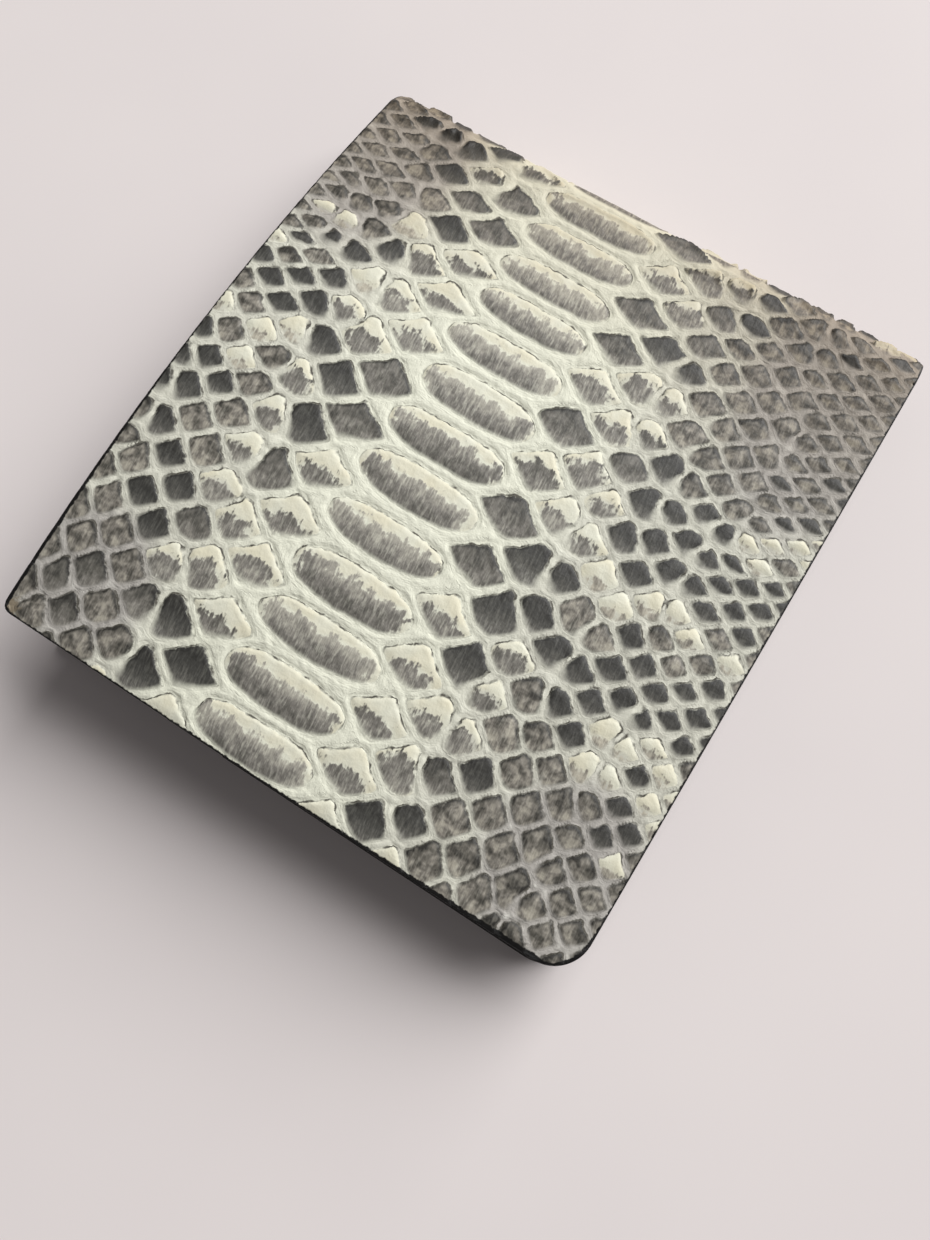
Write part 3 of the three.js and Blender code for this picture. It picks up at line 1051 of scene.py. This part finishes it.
@dataclass(frozen=True)
class PythonLeather:
    """Python skin, bleached, hand tinted and glazed. It shows cream scales with brushed grey patches."""

    cream: str = "DCDBC9"
    cream_aged: str = "DAD5BD"
    fold_shade_and_tan: str = "D0C3B5"  # painted shade over the hide towards the fold, whose face turns to the light, with a tan from handling
    fold_shade_runs: tuple[float, float] = (46.0, 6.0)  # where this begins and is full
    fold_shade_most: tuple[float, float] = (0.42, 0.72)  # its share at the belly and on the flanks
    crest_shade_runs: tuple[float, float] = (15.0, 4.0)  # where more painted shade is added, on the fold itself, whose crest faces the light most
    crest_shade_most: float = 0.26
    net_cream: str = "E1E1CF"
    net_grey: str = "A9A49F"
    net_ridge: str = "CDCAC3"
    pigments: tuple[tuple[float, str], ...] = (
        (0.0, "C5C2B5"), (0.3, "A5A298"), (0.5, "83807A"),
        (0.68, "65635D"), (0.84, "4A4945"), (1.0, "2D2C29"),
    )
    warmth: str = "FFFAF3"  # warms the tint of mottled scales
    slant: float = 0.12  # how far the brush strokes lean from the run, as a slope
    streaks: tuple[float, float, float] = (0.45, 2.1, 1.0)  # streaks for each mm along and across
    fine_streaks: tuple[float, float, float] = (0.9, 4.2, 1.0)
    # Name, place that it is read from, width of its hills in mm, detail and distortion of each noise.
    noises: tuple[tuple[str, str, float, float, float], ...] = (
        ("streak", "brushed", 1.0, 4.0, 0.0),
        ("fine", "finely_brushed", 1.0, 3.0, 0.4),
        ("jag", "flat", 0.75, 3.0, 0.0),
        ("cloud", "flat", 1.9, 2.0, 0.2),
        ("aged", "flat", 6.0, 2.0, 0.0),
        ("sway", "flat", 1.4, 1.0, 0.0),
        ("grain", "flat", 0.32, 3.0, 0.0),
        ("folds", "flat", 1.6, 2.0, 0.6),
        ("furrows", "by_edge", 1.0, 2.0, 0.0),
    )
    roughness_of_noise: float = 0.6
    stroke: float = 0.11  # how much the brush strokes change the tint's darkness
    fine_stroke: float = 0.07
    speckle: float = 0.34
    free_rim: float = 0.28  # how much darker the tint is along the free edge
    mottled_rim: float = 0.2
    # pigment along the scales' free edges, which also stands for painted shade in the undercut groove outside
    # them
    line: str = "4A473F"
    line_widths: tuple[float, float] = (0.08, 0.3)
    edge_paint: str = "0E0D0C"
    paint_width: float = 0.42
    paint_fade: float = 0.2
    paint_excess: float = 0.5  # more paint at the far end of the front half's opening edge
    excess_runs: tuple[float, float] = (103.0, 110.0)  # where this begins and is full, along and across
    excess_across: tuple[float, float] = (0.0, 38.0)
    side_runs: tuple[float, float] = (60.0, 95.0)  # and the same along the near side
    side_across: tuple[float, float] = (-46.0, -48.0)
    side_most: float = 0.8
    worn: str = "857A68"  # bare hide where a corner of the opening edge is rubbed through
    worn_corner: tuple[float, float] = (111.3, -47.6)
    worn_reach: float = 2.0
    worn_fade: float = 0.8
    dull: float = 0.66  # roughness of the skin between scales
    glazed: float = 0.5  # and of the scales
    ior: float = 1.4
    # Heights in mm that bump adds: the step at a scale's free edge, and waves.
    step: float = 0.09
    furrow_height: float = 0.16
    fold_height: float = 0.1
    grain_height: float = 0.05
    scale_grain_height: float = 0.025
    stroke_height: float = 0.03
    cloud_height: float = 0.12

    def make(self) -> bpy.types.Material:
        """Makes the material.

        It reads the attributes spot (run, across, distance to the rim), scale (edge, free, net) and pigment
        (patch, dark, mottled), all in mm. The brush left streaks about 0.5 mm apart, nearly along the run.

        Returns:
            The material.
        """
        material, tree, shader = new_material("python_leather_glazed")
        add = partial(add_node, tree)
        at = self.shared(add)
        body = self.scales_and_skin(add, at)
        tint = add("Mix", BLEND_BY_PRODUCT, {0: at.mottled, 6: self.tint(add, at), 7: linear(self.warmth)}, 2)
        body = add("Mix", BLEND, {0: self.mask(add, at), 6: body, 7: tint}, 2)
        body = self.fold_shade_and_wear(add, at, self.line_and_groove_shade(add, at, body))
        shine = add("MapRange", LINEAR, (at.inside, 0.0, 1.0, self.dull, self.glazed))
        roughness = add("Math", MULTIPLY_ADD, (at.strokes, 0.3, shine))
        tree.links.new(self.painted(add, at, body), shader.inputs["Base Color"])
        tree.links.new(roughness, shader.inputs["Roughness"])
        tree.links.new(self.bump(add, at), shader.inputs["Normal"])
        shader.inputs["IOR"].default_value = self.ior
        return material

    def shared(self, add: Adder) -> SimpleNamespace:
        """Reads the attributes and makes what several steps use.

        Args:
            add: Adds a node.

        Returns:
            Outputs by name: the attributes' numbers, the noises, and what follows from them. Of these, swing
            is an even raggedness, and ragged_edge is the distance inside a scale with it.
        """
        at = SimpleNamespace()
        attributes = {
            "spot": ("run", "across", "rim"),
            "scale": ("edge", "free", "net"),
            "pigment": ("patch", "dark", "mottled"),
        }
        for attribute, names in attributes.items():
            vector = add("Attribute", {"attribute_name": attribute}, (), "Vector")
            for name, output in zip(names, add("SeparateXYZ", {}, (vector,)).node.outputs):
                setattr(at, name, output)
        at.flat = add("CombineXYZ", {}, (at.run, at.across))
        slanted = add("CombineXYZ", {}, (at.run, add("Math", MULTIPLY_ADD, (at.run, -self.slant, at.across))))
        at.brushed = add("VectorMath", MULTIPLY, (slanted, self.streaks))
        at.finely_brushed = add("VectorMath", MULTIPLY, (slanted, self.fine_streaks))
        shares = ((at.edge, 1.8), (at.run, 0.5), (at.across, 0.5))
        at.by_edge = add("CombineXYZ", {}, tuple(add("Math", MULTIPLY, share) for share in shares))
        for name, place, width, detail, distortion in self.noises:
            look = {"Detail": detail, "Roughness": self.roughness_of_noise, "Distortion": distortion}
            inputs = {"Vector": getattr(at, place), "Scale": 1 / width, **look}
            setattr(at, name, add("TexNoise", {}, inputs, "Fac"))
        at.swing = add("MapRange", LINEAR, (at.jag, *SPREAD, -0.5, 0.5))
        reach = add("Math", MULTIPLY_ADD, (at.free, 0.16, 0.1))
        at.ragged_edge = add("Math", MULTIPLY_ADD, (at.swing, reach, at.edge))
        end = add("Math", MULTIPLY_ADD, (at.free, -0.12, 0.22))
        at.inside = add("MapRange", SMOOTH, (at.ragged_edge, -0.06, end, 0.0, 1.0))
        at.streaked = add("MapRange", LINEAR, (at.streak, *SPREAD, -1.0, 1.0))
        at.bold = add("MapRange", LINEAR, (at.dark, 0.45, 0.95, 1.0, 0.35))
        fine = add("MapRange", LINEAR, (at.fine, *SPREAD, -self.fine_stroke, self.fine_stroke))
        both = add("Math", MULTIPLY_ADD, (at.streaked, self.stroke, fine))
        at.strokes = add("Math", MULTIPLY, (at.bold, both))
        return at

    def mask(self, add: Adder, at: SimpleNamespace) -> bpy.types.NodeSocket:
        """Where the tint is: in the patch and the outline, crisp at the free edge and faded at the other.

        Args:
            add: Adds a node.
            at: The shared outputs.

        Returns:
            The share of tint.
        """
        start = add("Math", MULTIPLY_ADD, (at.mottled, -0.1, -0.18))
        width = add("Math", MULTIPLY_ADD, (at.free, -0.62, 0.77))
        end = add("Math", MULTIPLY, (width, add("Math", MULTIPLY_ADD, (at.mottled, -0.55, 1.0))))
        faded = add("MapRange", SMOOTH, (at.ragged_edge, start, end, 0.0, 1.0))
        drift = add("MapRange", LINEAR, (at.cloud, 0.35, 0.65, -0.7, 0.7))
        drift = add("Math", MULTIPLY_ADD, (at.swing, 0.5, drift))
        ragged_patch = add("Math", ADD, (drift, add("Math", MULTIPLY_ADD, (at.streaked, 0.45, at.patch))))
        tinted = add("MapRange", SMOOTH, (ragged_patch, -0.3, 0.35, 0.0, 1.0))
        thinnest = add("MapRange", LINEAR, (at.dark, 0.55, 0.75, 0.76, 0.96))
        thin = add("MapRange", LINEAR, (at.streak, 0.36, 0.5, thinnest, 1.0))
        return add("Math", MULTIPLY, (add("Math", MULTIPLY, (faded, tinted)), thin))

    def tint(self, add: Adder, at: SimpleNamespace) -> bpy.types.NodeSocket:
        """Colour of the tint: streaked everywhere, and blotched where the scale is mottled.

        Args:
            add: Adds a node.
            at: The shared outputs.

        Returns:
            The colour.
        """
        blotch = add("MapRange", LINEAR, (at.cloud, 0.36, 0.64, -0.42, 0.22))
        blotch = add("Math", MULTIPLY, (blotch, at.mottled))
        speckle = add("Math", MULTIPLY_ADD, (at.jag, self.speckle, -self.speckle / 2))
        speckle = add("Math", MULTIPLY, (add("Math", MULTIPLY_ADD, (at.mottled, -0.4, at.bold)), speckle))
        rims = ((at.free, self.free_rim), (at.mottled, self.mottled_rim))
        rim = add("Math", MAXIMUM, tuple(add("Math", MULTIPLY, share) for share in rims))
        rim = add("Math", MULTIPLY, (add("MapRange", SMOOTH, (at.edge, 0.0, 0.6, 1.0, -0.2)), rim))
        tone = add("Math", ADD, (at.dark, add("Math", ADD, (blotch, speckle))))
        tone = add("Math", ADD, (tone, add("Math", ADD, (at.strokes, rim))))
        colour = add("ValToRGB", {}, (tone,))
        stops = colour.node.color_ramp.elements
        while len(stops) < len(self.pigments):
            stops.new(0.5)
        for stop, (position, pigment) in zip(stops, self.pigments):
            stop.position, stop.color = position, linear(pigment)
        return colour

    def scales_and_skin(self, add: Adder, at: SimpleNamespace) -> bpy.types.NodeSocket:
        """Colour without tint: cream scales, and skin that is cream at the belly and grey on the flanks.

        Args:
            add: Adds a node.
            at: The shared outputs.

        Returns:
            The colour.
        """
        crest = add("MapRange", SMOOTH, (at.edge, -0.25, -0.75, 0.0, 1.0))
        crest = add("Math", MULTIPLY, (crest, add("MapRange", LINEAR, (at.sway, 0.35, 0.6, 0.4, 1.0))))
        grey = add("Mix", BLEND, {0: crest, 6: linear(self.net_grey), 7: linear(self.net_ridge)}, 2)
        skin = add("Mix", BLEND, {0: at.net, 6: linear(self.net_cream), 7: grey}, 2)
        aged = add("MapRange", LINEAR, (at.aged, 0.35, 0.65, 0.0, 1.0))
        ivory = add("Mix", BLEND, {0: aged, 6: linear(self.cream), 7: linear(self.cream_aged)}, 2)
        bare = add("MapRange", SMOOTH, (at.patch, 0.5, -0.5, 0.0, 1.0))
        return add("Mix", BLEND, {0: add("Math", MULTIPLY, (at.inside, bare)), 6: skin, 7: ivory}, 2)

    def line_and_groove_shade(self, add: Adder, at: SimpleNamespace, body: bpy.types.NodeSocket) -> bpy.types.NodeSocket:
        """Draws a line along the free edges, of uneven width and strength: pigment at the edge, and painted
        shade in the undercut groove outside it.

        Args:
            add: Adds a node.
            at: The shared outputs.
            body: The colour so far.

        Returns:
            The colour with the line.
        """
        # The line lies just outside the free edge: pigment there, and painted shade of the groove under the
        # edge.
        off = add("Math", ADD, (add("Math", MULTIPLY_ADD, (at.swing, 0.14, at.edge)), 0.08))
        width = add("MapRange", LINEAR, (at.sway, 0.35, 0.65, *self.line_widths))
        strong = add("Math", MULTIPLY, (at.free, add("MapRange", LINEAR, (at.cloud, 0.38, 0.58, 0.15, 1.0))))
        line = add("MapRange", SMOOTH, (add("Math", ABSOLUTE, (off,)), width, 0.04, 0.0, 1.0))
        return add("Mix", BLEND, {0: add("Math", MULTIPLY, (line, strong)), 6: body, 7: linear(self.line)}, 2)

    def fold_shade_and_wear(self, add: Adder, at: SimpleNamespace, body: bpy.types.NodeSocket) -> bpy.types.NodeSocket:
        """Darkens the hide towards the fold with painted shade, where its face turns to the light, and a tan
        from handling, and rubs one corner bare.

        Args:
            add: Adds a node.
            at: The shared outputs.
            body: The colour so far.

        Returns:
            The colour with its painted shade and wear.
        """
        # Painted shade, partly a tan from handling: darker towards the fold, and more again on its crest.
        from_fold = add("Math", ABSOLUTE, (add("Math", MULTIPLY_ADD, (at.swing, 3.0, at.run)),))
        most = add("MapRange", LINEAR, (at.net, 0.0, 0.6, *self.fold_shade_most))
        shade_near_fold = add("MapRange", SMOOTH, (from_fold, *self.fold_shade_runs, 0.0, most))
        shade_at_crest = add("MapRange", SMOOTH, (from_fold, *self.crest_shade_runs, 0.0, self.crest_shade_most))
        fold_shade = add("Math", ADD, (shade_near_fold, shade_at_crest))
        body = add("Mix", BLEND_BY_PRODUCT, {0: fold_shade, 6: body, 7: linear(self.fold_shade_and_tan)}, 2)
        away = zip((at.run, at.across), self.worn_corner)
        corner = add("CombineXYZ", {}, tuple(add("Math", SUBTRACT, pair) for pair in away))
        from_corner = add("VectorMath", LENGTH, (corner,), "Value")
        from_corner = add("Math", MULTIPLY_ADD, (at.swing, 1.2, from_corner))
        fade = (self.worn_reach, self.worn_reach - self.worn_fade)
        rubbed = add("MapRange", LINEAR, (from_corner, *fade, 0.0, 1.0))
        return add("Mix", BLEND, {0: rubbed, 6: body, 7: linear(self.worn)}, 2)

    def painted(self, add: Adder, at: SimpleNamespace, body: bpy.types.NodeSocket) -> bpy.types.NodeSocket:
        """Paints the rim, wider at the far end of the opening edge and along part of the near side.

        Args:
            add: Adds a node.
            at: The shared outputs.
            body: The colour so far.

        Returns:
            The colour with the paint.
        """
        at_far_end = add("MapRange", LINEAR, (at.across, *self.excess_across, 0.0, 1.0))
        at_edge = add("MapRange", LINEAR, (at.run, *self.excess_runs, 0.0, 1.0))
        at_near_end = add("MapRange", LINEAR, (at.across, *self.side_across, 0.0, self.side_most))
        past_middle = add("MapRange", LINEAR, (at.run, *self.side_runs, 0.0, 1.0))
        both = ((at_far_end, at_edge), (at_near_end, past_middle))
        wider = add("Math", MAXIMUM, tuple(add("Math", MULTIPLY, pair) for pair in both))
        width = add("Math", MULTIPLY_ADD, (wider, self.paint_excess, self.paint_width))
        off = add("Math", SUBTRACT, (add("Math", MULTIPLY_ADD, (at.swing, -0.3, at.rim)), width))
        paint = add("MapRange", SMOOTH, (off, 0.0, -self.paint_fade, 0.0, 1.0))
        return add("Mix", BLEND, {0: paint, 6: body, 7: linear(self.edge_paint)}, 2)

    def bump(self, add: Adder, at: SimpleNamespace) -> bpy.types.NodeSocket:
        """Fine relief: a step at the free edges, grain, and wrinkles that follow the scales' outlines.

        Args:
            add: Adds a node.
            at: The shared outputs.

        Returns:
            The normal.
        """
        step = add("MapRange", SMOOTH, (at.ragged_edge, -0.12, 0.08, 0.0, self.step))
        waves = (
            (at.furrows, self.furrow_height),
            (at.folds, self.fold_height),
            (at.grain, self.grain_height),
            (at.grain, self.scale_grain_height),
            (at.fine, self.stroke_height),
            (at.cloud, self.cloud_height),
        )
        furrows, folds, grain, scale_grain, strokes, clouds = (
            add("Math", MULTIPLY_ADD, (noise, height, -height / 2)) for noise, height in waves
        )
        on_skin = add("Math", ADD, (add("Math", ADD, (furrows, folds)), grain))
        on_scale = add("Math", ADD, (strokes, add("Math", ADD, (scale_grain, clouds))))
        height = add("Mix", {}, {0: at.inside, 2: on_skin, 3: on_scale})
        height = add("Math", ADD, (height, add("Math", MULTIPLY, (step, at.free))))
        return add("Bump", {}, {"Strength": 1.0, "Distance": MM, "Height": height}, "Normal")


@dataclass(frozen=True)
class BlackLeather:
    """Black calf leather, drum dyed and finely grained, with edges painted black."""

    name: str = "calf_leather_black_grained"
    face: str = "1B1918"
    # the lighter colour below is a painted sheen on the raised grain
    high: str = "2B2826"
    pore_width: float = 0.55
    pore_depth: float = 0.05
    bump_strength: float = 0.5
    polish_width: float = 6.0
    roughness: float = 0.55

    def make(self) -> bpy.types.Material:
        """Makes the material: cells of pores of a real calf grain, with a painted sheen, a lighter colour, on
        what stands up.

        Returns:
            The material.
        """
        material, tree, shader = new_material(self.name)
        add = partial(add_node, tree)
        place = add("TexCoord", {}, (), "Object")
        pores = {"Vector": place, "Scale": 1 / (self.pore_width * MM)}
        cells = add("TexVoronoi", {"feature": "DISTANCE_TO_EDGE"}, pores, "Distance")
        raised = add("MapRange", SMOOTH, (cells, 0.0, 0.28, 0.0, 1.0))
        # Painted sheen: the raised grain is coloured lighter.
        colour = add("Mix", BLEND, {0: raised, 6: linear(self.face), 7: linear(self.high)}, 2)
        tree.links.new(colour, shader.inputs["Base Color"])
        polish = {"Vector": place, "Scale": 1 / (self.polish_width * MM), "Detail": 4.0}
        soft = add("TexNoise", {}, polish, "Fac")
        shine = add("MapRange", LINEAR, (soft, *SPREAD, self.roughness - 0.08, self.roughness + 0.1))
        tree.links.new(shine, shader.inputs["Roughness"])
        height = {"Strength": self.bump_strength, "Distance": self.pore_depth * MM, "Height": raised}
        tree.links.new(add("Bump", {}, height, "Normal"), shader.inputs["Normal"])
        return material


@dataclass(frozen=True)
class Paper:
    """Bond paper, pressed and uncoated, as the floor. It is plain, with a faint unevenness."""

    white: str = "E9E1DF"
    shade: str = "E2DAD9"
    cloud_width: float = 45.0
    roughness: float = 0.85

    def make(self) -> bpy.types.Material:
        """Makes the material.

        Returns:
            The material.
        """
        material, tree, shader = new_material("bond_paper_uncoated")
        place = add_node(tree, "TexCoord", {}, (), "Object")
        clouds = {"Vector": place, "Scale": 1 / (self.cloud_width * MM), "Detail": 2.0}
        uneven = add_node(tree, "TexNoise", {}, clouds, "Fac")
        colour = add_node(tree, "Mix", BLEND, {0: uneven, 6: linear(self.white), 7: linear(self.shade)}, 2)
        tree.links.new(colour, shader.inputs["Base Color"])
        shader.inputs["Roughness"].default_value = self.roughness
        return material


# ---- the wallet's parts ---------------------------------------------------------------------------


class Half(Enum):
    """The two halves: their name, and which way they run from the fold."""

    BACK = ("back", -1)
    FRONT = ("front", 1)

    @property
    def label(self) -> str:
        """Name of the half, which is also its body's."""
        return self.value[0]

    @property
    def way(self) -> int:
        """1 where its run grows away from the fold, -1 where it falls."""
        return self.value[1]


@dataclass
class Cover:
    """The python hide over both halves and the fold, in four pieces that meet without a gap."""

    finish: bpy.types.Material
    thickness: float = 0.9
    front_spacing: float = 0.34
    back_spacing: float = 0.46
    form: HideForm = field(default_factory=HideForm)
    lattice: ScaleLattice = field(default_factory=ScaleLattice)
    relief: HideRelief = field(default_factory=HideRelief)

    def depth(self, run: np.ndarray, across: np.ndarray) -> np.ndarray:
        """Depth of the outer face under the cover's nominal face: its sink less the scales' height.

        Args:
            run: Distance along the hide.
            across: Place along the fold.

        Returns:
            The depth at each place.
        """
        height = self.relief.height(self.lattice.field(run, across), run, across)
        least = self.relief.least_at_rim
        ease = least + (1 - least) * smooth(0.0, self.relief.ease_at_rim, self.form.rim(run, across))
        sink = self.relief.sink(run, self.form)
        rested = sink / self.relief.sink_on_back
        return sink - np.minimum(height * ease, self.relief.highest + (sink - self.relief.highest) * rested)

    def sheet(self, name: str, start: float, end: float, spacing: float, free: bool) -> bpy.types.Object:
        """Makes one piece of the hide and gives it its attributes and finish.

        Args:
            name: The piece's name.
            start: Run where it starts.
            end: Run where it ends.
            spacing: Width of its grid.
            free: Whether its end is an opening edge.

        Returns:
            The piece.
        """
        leather = LeatherSheet(name, start, end, 0.0, self.thickness, spacing, end_free=free, form=self.form)
        piece = leather.build(self.depth)
        spot = np.zeros(3 * len(piece.data.vertices), np.float32)
        piece.data.attributes["spot"].data.foreach_get("vector", spot)
        run, across, _ = spot.reshape(-1, 3).T.astype(float)
        scales = self.lattice.field(run, across)
        keep_attribute(piece, "scale", (scales.edge, scales.free, scales.net))
        keep_attribute(piece, "pigment", (scales.patch, scales.dark, scales.mottled))
        piece.data.materials.append(self.finish)
        return piece

    def build(self) -> list[bpy.types.Object]:
        """Makes the four pieces, and ties the front and back ones to their bodies.

        Returns:
            The pieces.
        """
        quarter = self.form.quarter
        front = self.sheet("front_hide", quarter, self.form.front_edge, self.front_spacing, True)
        back = self.sheet("back_hide", -quarter, self.form.back_edge, self.back_spacing, True)
        upper = self.sheet("fold_hide_upper", 0.0, quarter, self.front_spacing, False)
        lower = self.sheet("fold_hide_lower", 0.0, -quarter, self.front_spacing, False)
        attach(front, "front")
        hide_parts("front_skin")
        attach(back, "back")
        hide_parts("back_skin")
        bend_fold(self.form, upper, lower)
        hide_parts("spine_skin")
        return [front, back, upper, lower]


def bend_fold(form: HideForm, upper: bpy.types.Object, lower: bpy.types.Object) -> None:
    """Bakes the places of the two quarters of a layer's fold into their meshes.

    Args:
        form: The wallet's form.
        upper: The quarter between the spine and the front half.
        lower: The quarter between the back half and the spine.
    """
    middle = np.zeros(2)
    crest, low = (Vector(spot) for spot in form.place(np.array([0.0, -form.quarter]), middle, middle))
    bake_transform(lower)
    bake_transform(upper)


@dataclass
class Lining:
    """Thin black leather glued to the inside of the hide."""

    finish: bpy.types.Material
    outer: float = 0.9
    inner: float = 1.8
    spacing: float = 1.2
    roll: float = 0.18
    form: HideForm = field(default_factory=HideForm)

    def build(self) -> list[bpy.types.Object]:
        """Makes the four pieces of the lining, and ties the front and back ones to their bodies.

        Returns:
            The pieces.
        """
        quarter = self.form.quarter
        plans = (
            ("front_lining_leather", quarter, self.form.front_edge, True),
            ("back_lining_leather", -quarter, self.form.back_edge, True),
            ("fold_lining_upper", 0.0, quarter, False),
            ("fold_lining_lower", 0.0, -quarter, False),
        )
        pieces = []
        for name, start, end, free in plans:
            sheet = LeatherSheet(
                name, start, end, self.outer, self.inner, self.spacing, self.roll,
                end_free=free, form=self.form,
            )
            piece = sheet.build()
            piece.data.materials.append(self.finish)
            pieces.append(piece)
        front, back, upper, lower = pieces
        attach(front, "front")
        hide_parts("front_lining")
        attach(back, "back")
        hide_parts("back_lining")
        bend_fold(self.form, upper, lower)
        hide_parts("spine_lining")
        return pieces


@dataclass
class Pockets:
    """Note wall and stepped card pockets inside one half."""

    half: Half
    finish: bpy.types.Material
    start_run: float = 8.0  # clear of the fold
    flush: float = 0.2
    note_depth: float = 2.3
    note_gap: float = 0.5  # to the lining
    leather: float = 0.6
    gap: float = 0.3
    note_drop: float = 3.0
    first_drop: float = 14.0
    drop_step: float = 11.0
    crease_in: float = 1.6  # a creased line runs along each mouth, this far in
    crease_depth: float = 0.12
    crease_width: float = 0.28
    glued_width: float = 2.5
    glued_flat: float = 0.5  # mm of that width, at the edge, over which the layer is fully down
    glued_down: float = 0.9  # part of the gap that it comes down by
    spacing: float = 1.0
    roll: float = 0.15
    form: HideForm = field(default_factory=HideForm)

    def layers(self) -> list[tuple[str, float, float, float]]:
        """Name, mouth drop, depth and gap under it of each layer, from the lining inwards."""
        layers = [("note_wall", self.note_drop, self.note_depth, self.note_gap)]
        for step, place in enumerate(("top", "middle", "bottom")):
            depth = self.note_depth + (step + 1) * (self.leather + self.gap)
            layers.append((f"card_pocket_{place}", self.first_drop + step * self.drop_step, depth, self.gap))
        return layers

    def build(self) -> list[bpy.types.Object]:
        """Makes the layers: flat leather with a creased mouth, and turned down where it is glued.

        Returns:
            The pieces.
        """
        edge = self.form.front_edge if self.half is Half.FRONT else self.form.back_edge
        start = self.half.way * (self.form.quarter + self.start_run)
        end = edge - self.half.way * self.flush
        pieces = []
        for name, drop, depth, gap in self.layers():
            node = f"{self.half.label}_{name}"

            def outer_face(
                run: np.ndarray, across: np.ndarray, drop: float = drop, gap: float = gap
            ) -> np.ndarray:
                """The face dips at the crease, and meets the layer under it along the glued sides."""
                from_crease = across + self.form.half - drop - self.crease_in
                crease = self.crease_depth * np.exp(-((from_crease / self.crease_width) ** 2))
                sides = np.minimum(np.abs(run - start), np.abs(end - run))
                sides = np.minimum(sides, self.form.half - across)
                return crease - gap * self.glued_down * smooth(self.glued_width, self.glued_flat, sides)

            sheet = LeatherSheet(
                f"{node}_leather", start, end, depth, depth + self.leather, self.spacing, self.roll,
                inset=self.flush, mouth_drop=drop, start_free=True, form=self.form,
            )
            piece = sheet.build(outer_face)
            piece.data.materials.append(self.finish)
            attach(piece, self.half.label)
            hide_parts(node)
            pieces.append(piece)
        return pieces


# ---- the studio -----------------------------------------------------------------------------------


@dataclass(frozen=True)
class Studio:
    """Pale floor, soft light and the camera."""

    camera_place: tuple[float, float, float] = (0.03555, 0.0293, 0.1492)
    forward: tuple[float, float, float] = (-0.1265, -0.1439, -0.9815)
    right: tuple[float, float, float] = (-0.5304, 0.8459, -0.0556)
    lens: float = 27.03
    sensor: float = 36.0
    nearest: float = 0.01
    floor_half: float = 1.5
    # Azimuth and elevation in degrees, width in metres and power in watts of each softbox.
    softboxes: tuple[tuple[float, float, float, float], ...] = ((158.0, 36.0, 2.88, 177.0),)
    softbox_distance: float = 3.2
    sky: str = "F4F1F1"
    sky_strength: float = 0.15

    def camera(self) -> None:
        """Places the camera by its place and the directions that it looks and leans."""
        data = bpy.data.cameras.new("camera")
        data.sensor_fit = "VERTICAL"
        data.sensor_height = self.sensor
        data.lens = self.lens
        data.clip_start = self.nearest
        camera = bpy.data.objects.new("camera", data)
        bpy.context.scene.collection.objects.link(camera)
        ahead = Vector(self.forward).normalized()
        right = Vector(self.right)
        right = (right - right.dot(ahead) * ahead).normalized()
        axes = Matrix((right, right.cross(ahead), -ahead)).transposed().to_4x4()
        camera.matrix_world = Matrix.Translation(self.camera_place) @ axes
        bpy.context.scene.camera = camera

    def lights(self) -> None:
        """Large soft lights and an even sky."""
        for number, (azimuth, elevation, width, power) in enumerate(self.softboxes):
            data = bpy.data.lights.new(f"softbox_{number}", "AREA")
            data.size = width
            data.energy = power
            light = bpy.data.objects.new(data.name, data)
            bpy.context.scene.collection.objects.link(light)
            turn, rise = math.radians(azimuth), math.radians(elevation)
            way = Vector((math.cos(turn) * math.cos(rise), math.sin(turn) * math.cos(rise), math.sin(rise)))
            aim = way.to_track_quat("Z", "Y").to_matrix().to_4x4()
            light.matrix_world = Matrix.Translation(way * self.softbox_distance) @ aim
        world = bpy.data.worlds.new("sky")
        world.use_nodes = True
        background = world.node_tree.nodes["Background"]
        background.inputs["Color"].default_value = linear(self.sky)
        background.inputs["Strength"].default_value = self.sky_strength
        bpy.context.scene.world = world
        bpy.context.scene.view_settings.view_transform = "Standard"

    def floor(self) -> bpy.types.Object:
        """A plain flat sheet at z = 0.

        Returns:
            The floor.
        """
        corners = np.array([[-1.0, -1.0, 0.0], [1.0, -1.0, 0.0], [1.0, 1.0, 0.0], [-1.0, 1.0, 0.0]])
        floor = make_object("floor", self.floor_half * corners, [[0, 1, 2, 3]], smooth_faces=False)
        floor.data.materials.append(Paper().make())
        return floor


def main() -> None:
    """Builds the wallet's parts in order and reports each piece."""
    logging.basicConfig(level=logging.INFO, format="%(message)s")
    python_leather = PythonLeather().make()
    black_leather = BlackLeather().make()
    parts = (
        Cover(python_leather),
        Lining(black_leather),
        Pockets(Half.BACK, black_leather),
        Pockets(Half.FRONT, black_leather),
    )
    for part in parts:
        for piece in part.build():
            log.info("%s: %s has %d faces", type(part).__name__, piece.name, len(piece.data.polygons))
    studio = Studio()
    studio.floor()
    studio.lights()
    studio.camera()


if __name__ == "__main__":
    main()
